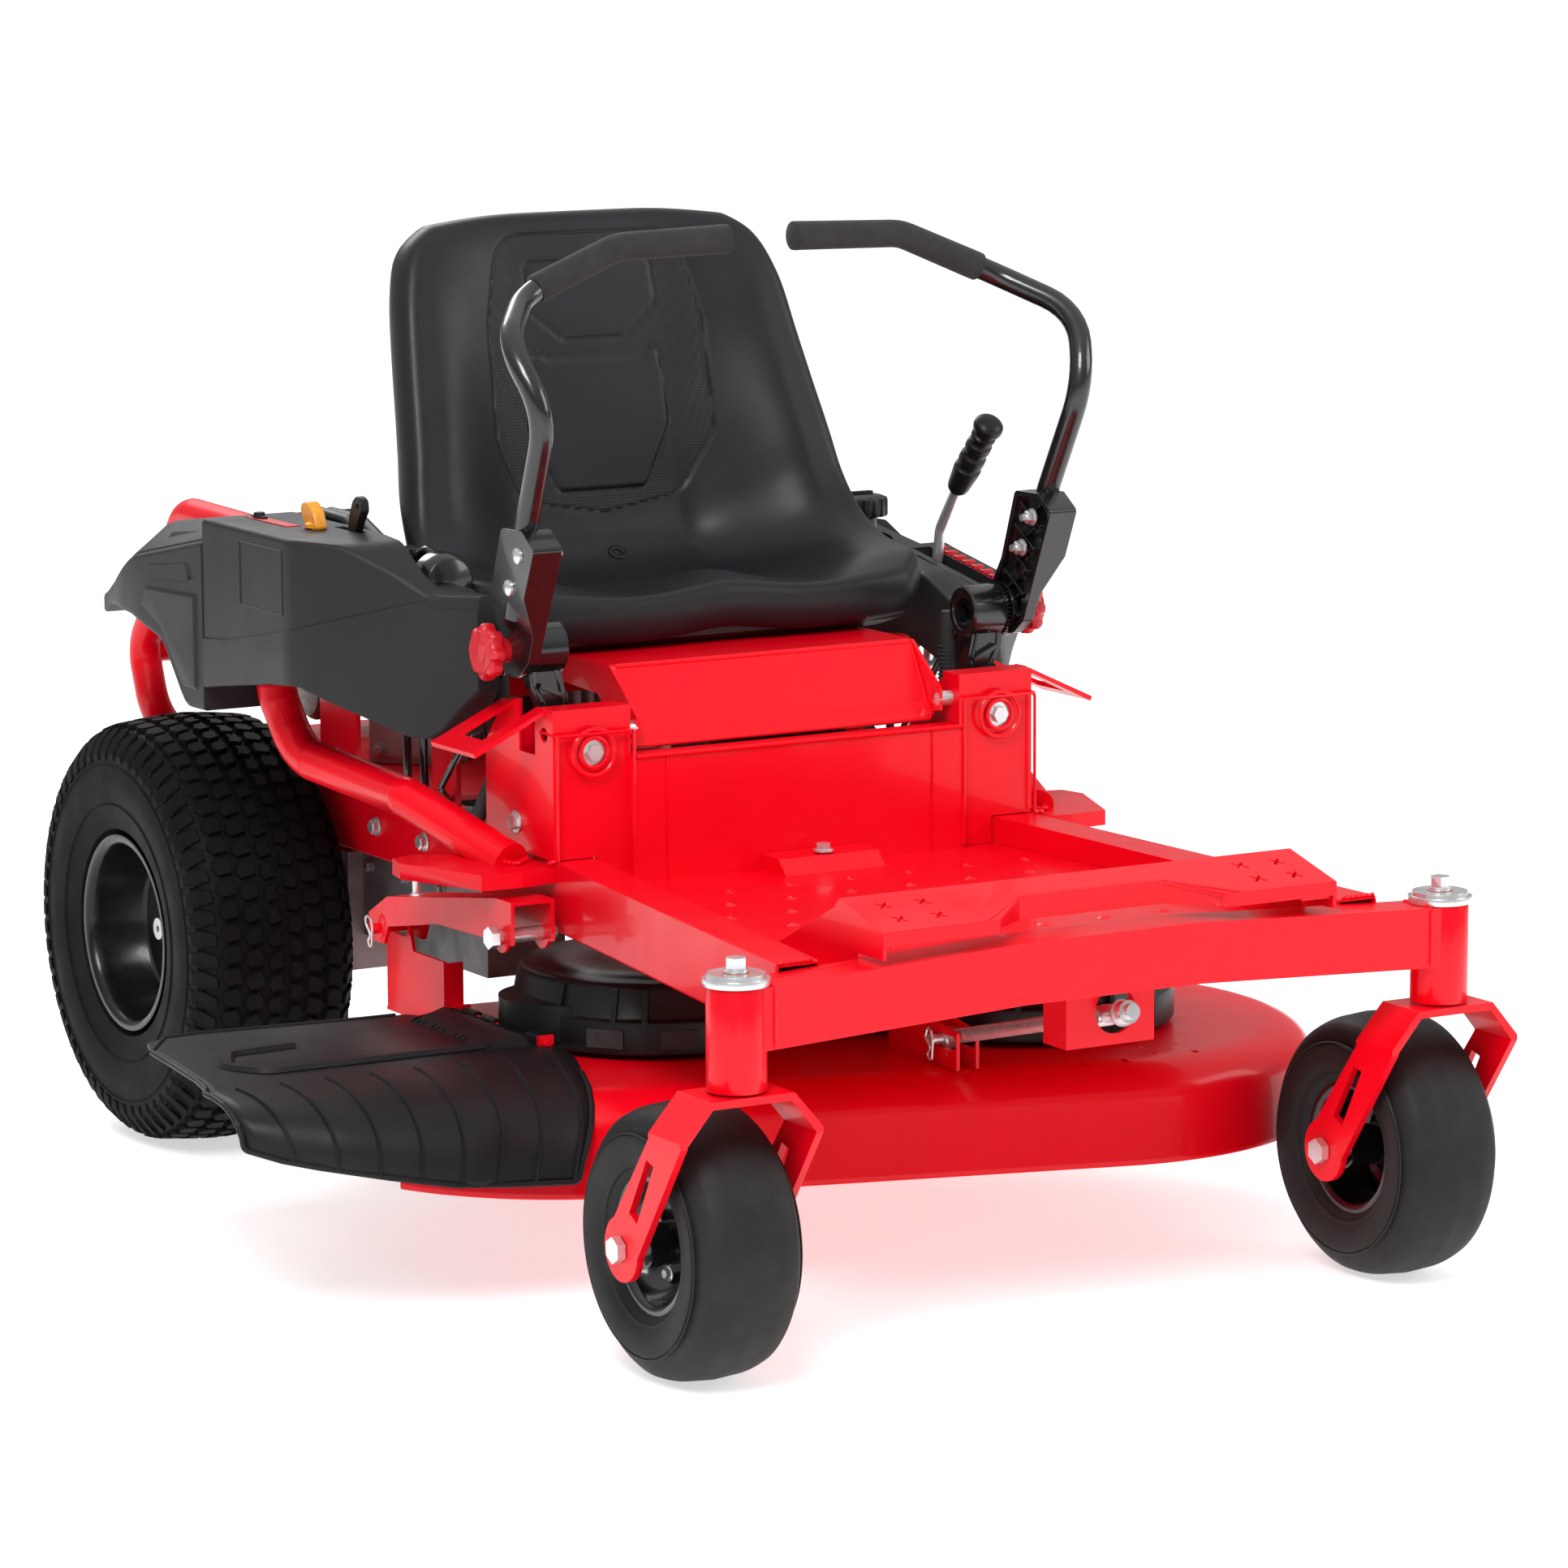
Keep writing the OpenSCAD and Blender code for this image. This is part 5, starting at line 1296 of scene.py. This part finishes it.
def lobed_knob():
    y, z = LEVER_HUB
    rings = []
    for x, grow in ((331, 0.86), (333, 0.97), (338, 1.0), (343, 1.0), (346, 0.95), (348, 0.84)):
        ring = []
        for k in range(96):
            a = 2 * math.pi * k / 96
            r = (28.4 + 2.6 * math.tanh(2.2 * math.cos(8 * a))) * grow
            ring.append((x, y + r * math.cos(a), z + r * math.sin(a)))
        rings.append(ring)
    return join(
        loft(rings), on_hub([(12, 0), (13, 1), (14.5, 17), (18, 17.5)], 313.8, 40),
        on_hub([(21, 0), (22.5, 1.6), (24, 0)], 347.4, 48),
        on_hub([(12.5, -0.6), (11.6, 1.6), (0.3, 2.2)], 347.6, 40),
    )


for side in SIDES:
    side_piece("lap_bar_tube", side, tube(LAP_BAR, 12.6, 72, 28), "black_paint", "lap_bar", ["lap_bar"])
    side_piece("lap_bar_bracket", side, bracket(), "black_paint", "lap_bar", bevel=0.7)
    side_piece("lap_bar_nuts", side, bracket_bolts(), "zinc", "lap_bar")
    side_piece("lap_grip_foam", side, grip(), "grip_foam", "lap_bar", ["lap_grip"])
    side_piece("lever_stand_body", side, lever_stand(), "black_paint", "lever_stand", ["lever_stand"])
    side_piece("lever_knob_body", side, lobed_knob(), "knob_red", "knob", ["lever_knob"])

# ---------------------------------------------------------------- small controls

LIFT_PIVOT = Vector((385, 960, 540))
LIFT_KNEE = LIFT_PIVOT + Vector((0, -67, 218))
LIFT_TOP = LIFT_PIVOT + Vector((0, -141, 303))
bends = [LIFT_PIVOT, LIFT_PIVOT + Vector((0, -30, 168)), LIFT_KNEE, LIFT_PIVOT + Vector((0, -80, 232))]
eye = lathe([(8.2, -12), (14, -12), (14, 12), (8.2, 12)], LIFT_PIVOT, "x", 32, closed=True)
piece("lift_lever_rod", join(tube(bends, 6.3, 26, 20), eye), "zinc", "lift_lever", ["lift_lever"])


def handle_radius(t):
    """Grooved body, thin neck and domed cap of the lift lever's handle."""
    r = table([(0, 9), (0.03, 12), (0.08, 13.2), (0.3, 16), (0.79, 14.6), (0.81, 11.2), (0.845, 11.2),
               (0.86, 16.4), (0.9, 17.6), (0.945, 17), (0.975, 13.8), (1, 7)], t)
    return r - 2.4 * max(0.0, math.sin(t * 37)) ** 0.5 * (0.27 < t < 0.77)


handle = [LIFT_KNEE.lerp(LIFT_TOP, k / 84) for k in range(-2, 85)]
piece("lift_lever_grip", tube(handle, 15, 1, 28, widths=handle_radius), "cover_plastic", "lift_lever")

# flag-shaped clutch knob on its stem
flag = rounded([(943, 755), (950, 775), (966, 786), (982, 784), (984, 774), (976, 764), (974, 755)],
               [4, 8, 8, 6, 6, 6, 3], 10)
middle_y, middle_z = (sum(p[k] for p in flag) / len(flag) for k in (0, 1))
rings = [
    [(x, middle_y + (y - middle_y) * share, middle_z + (z - middle_z) * share) for y, z in flag]
    for x, share in ((407, 0.9), (405, 0.97), (400, 1.0), (395, 0.97), (393, 0.9))
]
piece("pto_knob_flag", mirrored(join(
    loft(rings), lathe([(9, 0), (12, 1), (12, 5), (6, 8)], (*PTO_KNOB, 756.8), "z", 32),
    lathe([(0.3, 0), (6, 0), (6, 40)], (*PTO_KNOB, 720), "z", 24),
)), "knob_yellow", "pto_knob", ["pto_knob"])

paddle = rounded(
    [(918, 744), (932, 744), (927, 770), (918, 789), (908, 796), (896, 792), (894, 780), (904, 768)],
    [4, 4, 10, 12, 7, 7, 7, 10], 12)
piece("throttle_paddle", join(
    carved(prism(paddle, "yz", -376, -366), disc((0, 905, 784), "x", 2.6, -390, -350, 16)),
    lathe([(0.3, 0), (5, 0), (5, 20), (0.3, 20)], (-381, 925, 742), "x", 24),
), "cover_plastic", "throttle", ["throttle_lever"], bevel=1.4)

FUEL_CAP_RIBS = 18
rings = []
for r, z in ((31.5, -8), (35, -8), (36.4, -6), (36.4, 10), (35.6, 13), (32, 15.4), (20, 16.4), (0.5, 16.6)):
    ring = []
    for k in range(108):
        a = 2 * math.pi * k / 108
        ribbed = r + 2.0 * (math.cos(FUEL_CAP_RIBS * a) > 0) * (r > 34)
        ring.append((ribbed * math.cos(a), ribbed * math.sin(a), z))
    rings.append(ring)
cap = join(loft(rings), block((-22, -4, 15.5), (22, 4, 20)))
piece("fuel_cap_shell", moved(cap, *FUEL_FILLER, 722), "cover_plastic", "fuel_cap", ["fuel_cap"])

# ---------------------------------------------------------------- cap, clip and rails beside the seat

cap = join(
    lathe([(0.4, 0), (16, 1), (27, 5), (32, 12), (33, 20), (33, 34), (31, 36), (0.4, 36)],
          (-312, 806, 706), "y", 48),
    block((-350, 812, 702), (-306, 846, 708)),
)
piece("tray_cap", cap, "black_paint", bevel=0.6)
clip = join(
    prism(rounded([(-338, 880), (-300, 880), (-300, 930), (-338, 930)], 7), "xy", 716, 730),
    prism(rounded([(-333, 886), (-305, 886), (-305, 912), (-333, 912)], 4), "xy", 730, 737),
    tube([(-318, 884, 724), (-314, 862, 738), (-312, 846, 730)], 6, 12, 12),
    prism(rounded([(-334, 930), (-304, 930), (-300, 1010), (-338, 1010)], 5), "xy", 717, 722),
)
piece("tray_clip", clip, "black_paint", bevel=1.4)
rails = join(
    tube([(-314, 1100, 752), (-316, 1020, 752), (-322, 930, 726), (-326, 872, 708)], 9, 40, 12),
    tube([(-336, 1100, 758), (-338, 1010, 756), (-342, 930, 730), (-344, 880, 712)], 7, 40, 12),
)
piece("tray_rails", rails, "cover_plastic")

# ---------------------------------------------------------------- frame details

dimples = []
for row in range(7):
    y = 96 + 66 * row
    half = 285 - 50 * (y - 28) / 571  # the pan narrows towards the towers
    for col in range(-3, 4):
        x = col * 74 + (37 if row % 2 else 0)
        if abs(x) < half - 14 and not (-70 < x < 95 and y > 520):
            dimples.append(lathe([(2.6, 0.2), (3.6, 1.9), (5.4, 1.5), (8.5, 0.1)], (x, y, 400), "z", 14))
piece("floor_pan_dimples", join(*dimples), "red_paint")
piece("tower_dishes", pair(lambda s: [
    lathe([(r - w, -0.1), (r - w / 2, -h), (r, -h * 1.1), (r + w / 2, -h), (r + w, -0.1)],
          (s * 254, 592, 545), "y", 56)
    for r, w, h in ((25, 2.6, 1.3), (16, 2.2, 0.8))
]), "red_paint")

# Weld beads on the left half: radius, then points; the right half has the same
BEADS = [
    (3, (300.5, 594, 432), (312, 592, 431)),
    (2.6, (391, -24, 412), (391, 24, 412)),
    (2.4, (391, -25.5, 350), (391, -25.5, 410)),
    (2.6, (317, 29, 421), (358, 29, 421)),
    (3.2, (334, 622, 428), (352, 668, 430), (352, 700, 430)),
    (3.2, (312, 638, 430), (334, 622, 428)),
    (2.2, (226, -26, 437), (262, -26, 437)),
]
piece("frame_welds", pair(lambda s: [
    weld_bead([(s * x, y, z) for x, y, z in points], radius, seed)
    for seed, (radius, *points) in enumerate(BEADS, 1)
]), "red_paint")
piece("tower_top_bolts", pair(lambda s: [hex_head((s * 232, 610, 566), "z", 11, 5, 8)]), "black_paint")


# ---------------------------------------------------------------- lift linkage


def hairpin(x, y, z):
    """A hairpin clip: one wavy leg and one straight one."""
    s = -1 if x < 0 else 1
    return join(
        tube([(x, y - 4, z + 12), (x + 2 * s, y + 6, z + 16), (x, y + 8, z + 4), (x, y - 3, z - 6),
              (x, y + 5, z - 14), (x, y - 2, z - 20)], 1.4, 4, 8),
        tube([(x, y - 4, z + 12), (x, y - 7, z + 2), (x, y - 5, z - 18)], 1.4, 4, 8),
    )


piece("hairpin_clips", join(hairpin(-378, 887, 319), hairpin(378, 887, 319)), "zinc", "lift_arms")
piece("link_clip", hairpin(9, 342, 248), "zinc", "lift_link")
piece("lift_arm_studs", pair(lambda s: [
    hex_head((s * 352, 822, 357), "z", 17, 8, 10),
    lathe([(0.3, 26), (5, 26), (5, 0)], (s * 352, 822, 357), "z", 20),
]), "zinc", "lift_arms")
stud_cap = lathe([(0.3, 24), (4, 23), (5.4, 18), (5.4, 0)], (-334, 802, 240), "z", 24)
piece("deck_stud_cap", stud_cap, "cover_plastic", "deck")

# ---------------------------------------------------------------- wiring looms and control rods
# They are behind the towers, and both ends go into the bodywork.

piece("wiring_looms", pair(lambda s: [
    tube([(s * 284, 748, 640), (s * 283, 752, 520), (s * 262, 850, 436), (s * 240, 910, 432)], 9, 90, 16),
]), "belt_rubber", slot="cover_plastic")
piece("drive_control_rods", pair(lambda s: [
    tube([(s * 300, 902, 445), (s * 300, 904, 560), (s * 296, 930, 586), (s * 292, 960, 560),
          (s * 292, 960, 450)], 5, 22, 12),
    tube([(s * 286, 716, 640), (s * 292, 880, 470), (s * 250, 930, 436)], 4, 20, 10),
]), "black_paint")
piece("loom_ribs", pair(lambda s: [
    lathe([(9, -1.6), (10.6, 0), (9, 1.6)], (s * 283.2, 751, 600 - 4.6 * k), "z", 18) for k in range(20)
]), "belt_rubber", slot="cover_plastic")

# ---------------------------------------------------------------- engine and drive

COWL = [
    (146, 534.5), (149.4, 534.5), (150, 536), (150, 560), (148.6, 562), (148.6, 566), (150, 568),
    (150, 590), (148, 598), (142, 603.4), (134, 605), (121, 606), (118.5, 609), (117.4, 632),
    (115, 639), (108, 643.4), (100, 644), (97, 641), (52, 641), (50, 643.6), (0.5, 643.6),
]
louvre = prism(rounded([(146, 574), (151.2, 574), (151.2, 594), (146, 598)], 1.5), "xz", 1367, 1393)
piece("engine_cowl", join(
    lathe(COWL, ENGINE, "z", 120),
    *around(block((54, 1378.4, 640), (94, 1381.6, 644.2)), ENGINE, "Z", [15 * k + 7 for k in range(24)]),
    *around(louvre, ENGINE, "Z", [22.5 * k for k in range(16) if k % 4]),
    turned(block((140, 1362, 536), (151.5, 1398, 606)), ENGINE, "Z", -90),
), "cover_plastic", replaces=["engine_shroud"])
bolts = around(hex_head((132, 1380, 605.2), "z", 11, 5, 9), ENGINE, "Z", (25, 115, 205, 295))
piece("engine_cowl_bolts", join(*bolts), "zinc")
CLEANER = (0, 1340, 0)
cleaner = lathe([
    (60, 644.6), (69, 644.6), (70, 646), (70, 668), (68.4, 670), (68.4, 673), (70, 675), (70, 692), (67, 700),
    (60, 704.5), (48, 706), (30, 706.2), (28, 704), (0.4, 704)], CLEANER, "z", 88)
ribs = around(block((69, 1338.4, 650), (71, 1341.6, 664)), CLEANER, "Z", range(0, 360, 18))
piece("air_cleaner_case", join(cleaner, *ribs), "body_plastic", replaces=["air_cleaner"], slot="cover_plastic")
wing = join(disc(CLEANER, "z", 9, 703, 706.2, 28), block((-20, 1337, 703.5), (20, 1343, 706.2)))
piece("air_cleaner_knob", wing, "cover_plastic", bevel=1.2)

# The can's rolled ends and middle seam, from its middle to one end; the other half is the same
can_end = [(34.6, 132.5), (36, 134), (36, 137.5), (35.2, 139), (34, 142), (30, 147), (20, 149.6), (0.5, 150)]
can_half = [(36, 2.5), (34.6, 4), *can_end]
can = lathe([(r, -x) for r, x in reversed(can_half)] + can_half, (0, 1518, 486), "x", 64)
pipes = both(tube([(60, 1466, 486), (60, 1500, 486)], 12, 1, 24))
tail = tube([(92, 1530, 466), (92, 1545, 452), (92, 1551, 446)], 10, 20, 20)
louvres = [block((-110 + 16 * k, 1552.2, 478), (-100 + 16 * k, 1554, 494)) for k in range(11)]
piece("muffler_can", join(can, pipes, tail, *louvres), "exhaust_steel", replaces=["muffler"])

head = join(
    block((-44, 1154, 446), (44, 1159, 518)),
    *[hex_head((x, 1154, z), "y", 12, 5, 8, flip=True) for x in (-36, 36) for z in (454, 510)],
    hex_head((0, 1156, 530), "y", 16, 12, 9, flip=True),
)
piece("engine_rocker_covers", join(*around(head, ENGINE, "Z", (-45, 45))), "cast_grey", bevel=0.8)
piece("hydro_drive_details", pair(lambda s: [
    *[block((s * 177 - 46, y, 343), (s * 177 + 46, y + 5, 348)) for y in range(925, 1166, 40)],
    *[hex_head((s * 226.2, y, 330), "x", 13, 6, 8, flip=s < 0) for y in (920, 1010, 1100, 1190)],
    lathe([(r, s * x) for r, x in ((48, 240), (48, 255), (44, 259), (30, 260), (14, 260.5))],
          (0, *REAR_WHEEL[1:]), "x", 48),
]), "cast_grey", bevel=0.6)


def drive_fan(s):
    x, y, z = centre = (s * 177, 1040, 372)
    blade = prism([(x + 15, y - 6), (x + 62, y - 12), (x + 64, y + 6), (x + 15, y + 4)], "xy", z, z + 2.6)
    return [lathe([(0.5, 10), (14, 10), (17, 6), (17, -2)], centre, "z", 32),
            *around(blade, centre, "Z", range(0, 360, 40))]


piece("hydro_drive_fans", pair(drive_fan), "cover_plastic")

# ---------------------------------------------------------------- sheet-metal details

# folded flange along each tower's front corner, and a lip round its top
piece("tower_folds", pair(lambda s: [
    tube([(s * 206.5, 591.5, 404), (s * 206.5, 591.5, 564)], 2.2, 1, 8),
    tube([(s * 299, 591.5, 432), (s * 299, 591.5, 566), (s * 299, 630, 566)], 1.8, 6, 8),
    tube([(s * 207, 591.2, 565.5), (s * 299, 591.2, 565.5)], 1.8, 1, 8),
]), "red_paint")
piece("front_panel_folds", join(
    tube([(-204, 591, 536), (204, 591, 536)], 2.6, 1, 10),
    *[tube([(x, 591.2, 402), (x, 591.2, 534)], 1.1, 1, 6) for x in (-166, 166)],
), "red_paint")
piece("seat_base_rolls", join(
    tube([(-184, 673.5, 621.5), (184, 673.5, 621.5)], 3.4, 1, 12),
    tube([(-186, 629.5, 541), (186, 629.5, 541)], 2.4, 1, 10),
    both(tube([(187, 629.5, 542), (187, 672.5, 621)], 2.2, 1, 8)),
), "red_paint", "seat")
# bolts along the rear frame's rails, up its side plates and on its rear cross plate
piece("rear_frame_bolts", pair(lambda s: [
    *[hex_head((s * 262.2, y, 392), "x", 17, 7, 11, flip=s < 0) for y in (980, 1100, 1480)],
    *[hex_head((s * 262.2, 1200, z), "x", 13, 5, 9, flip=s < 0) for z in (460, 560, 690)],
    hex_head((s * 150, 1562.4, 400), "y", 15, 6, 10),
    hex_head((s * 220, 1562.4, 360), "y", 15, 6, 10),
]), "zinc")


# ---------------------------------------------------------------- stage, light and camera

FLOOR_REACH = 70.0
# Sky by height: darker near the horizon, so that dark surfaces keep their depth, and bright overhead
SKY = [(0.0, 0.3), (0.3, 0.5), (0.85, 1.0)]
SKY_STRENGTH = 0.85
LIGHTS = [  # name, place, target, size, power
    ("key", (-2.6, -3.2, 4.2), (0, 0, 0.4), (1.9, 1.9), 190),
    ("fill", (3.8, -2.6, 2.4), (0, 0, 0.4), (2.6, 2.0), 60),
    ("back", (0.5, 4.2, 3.6), (0, 0, 0.5), (3.0, 1.6), 90),
]
# The camera that the photograph's straight edges and tyre circles give
CAMERA_AT = (-3274, -5016, 1561)
YAW, PITCH, ROLL = (math.radians(a) for a in (30.11, -9.371, -0.297))
SENSOR, LENS = 36.0, 139.44


def lay_floor():
    r = FLOOR_REACH
    mesh = bpy.data.meshes.new("floor")
    mesh.from_pydata([(-r, -r, 0), (r, -r, 0), (r, r, 0), (-r, r, 0)], [], [(0, 1, 2, 3)])
    floor = bpy.data.objects.new("floor", mesh)
    bpy.context.scene.collection.objects.link(floor)
    n = Nodes("pale_floor", (0.79, 0.79, 0.79), 0.8)
    n.vary_color(0.7, (0.78, 0.78, 0.78)).vary_rough(2.0, 0.75, 0.85)
    n.shader.inputs["Emission Color"].default_value = (1, 1, 1, 1)
    n.shader.inputs["Emission Strength"].default_value = 0.6
    mesh.materials.append(n.material)


def light_sky():
    world = bpy.data.worlds.new("studio")
    bpy.context.scene.world = world
    world.use_nodes = True
    tree = world.node_tree
    background = tree.nodes["Background"]
    coords = tree.nodes.new("ShaderNodeTexCoord")
    split = tree.nodes.new("ShaderNodeSeparateXYZ")
    ramp = tree.nodes.new("ShaderNodeValToRGB")
    stops = ramp.color_ramp.elements
    stops[1].position = SKY[-1][0]
    stops.new(SKY[1][0])
    for stop, (_, value) in zip(stops, SKY):
        stop.color = (value, value, value, 1)
    tree.links.new(coords.outputs["Generated"], split.inputs["Vector"])
    tree.links.new(split.outputs["Z"], ramp.inputs["Fac"])
    tree.links.new(ramp.outputs["Color"], background.inputs["Color"])
    background.inputs["Strength"].default_value = SKY_STRENGTH


def hang_light(name, at, target, size, power):
    data = bpy.data.lights.new(name, "AREA")
    data.shape = "RECTANGLE"
    data.size, data.size_y = size
    data.energy = power
    lamp = bpy.data.objects.new(name, data)
    bpy.context.scene.collection.objects.link(lamp)
    lamp.location = at
    lamp.rotation_mode = "QUATERNION"
    lamp.rotation_quaternion = (Vector(target) - Vector(at)).to_track_quat("-Z", "Y")


def set_camera():
    forward = Vector((math.sin(YAW) * math.cos(PITCH), math.cos(YAW) * math.cos(PITCH), math.sin(PITCH)))
    level = Vector((math.cos(YAW), -math.sin(YAW), 0))
    upright = level.cross(forward)
    right = level * math.cos(ROLL) + upright * math.sin(ROLL)
    up = upright * math.cos(ROLL) - level * math.sin(ROLL)
    data = bpy.data.cameras.new("camera")
    data.sensor_width = SENSOR
    data.lens = LENS
    data.clip_start, data.clip_end = 0.1, 100.0
    cam = bpy.data.objects.new("camera", data)
    bpy.context.scene.collection.objects.link(cam)
    matrix = Matrix((right, up, -forward)).transposed().to_4x4()
    matrix.translation = place(CAMERA_AT)
    cam.matrix_world = matrix
    bpy.context.scene.camera = cam


lay_floor()
light_sky()
for light in LIGHTS:
    hang_light(*light)
set_camera()
bpy.context.scene.view_settings.view_transform = "Standard"
bpy.context.view_layer.update()
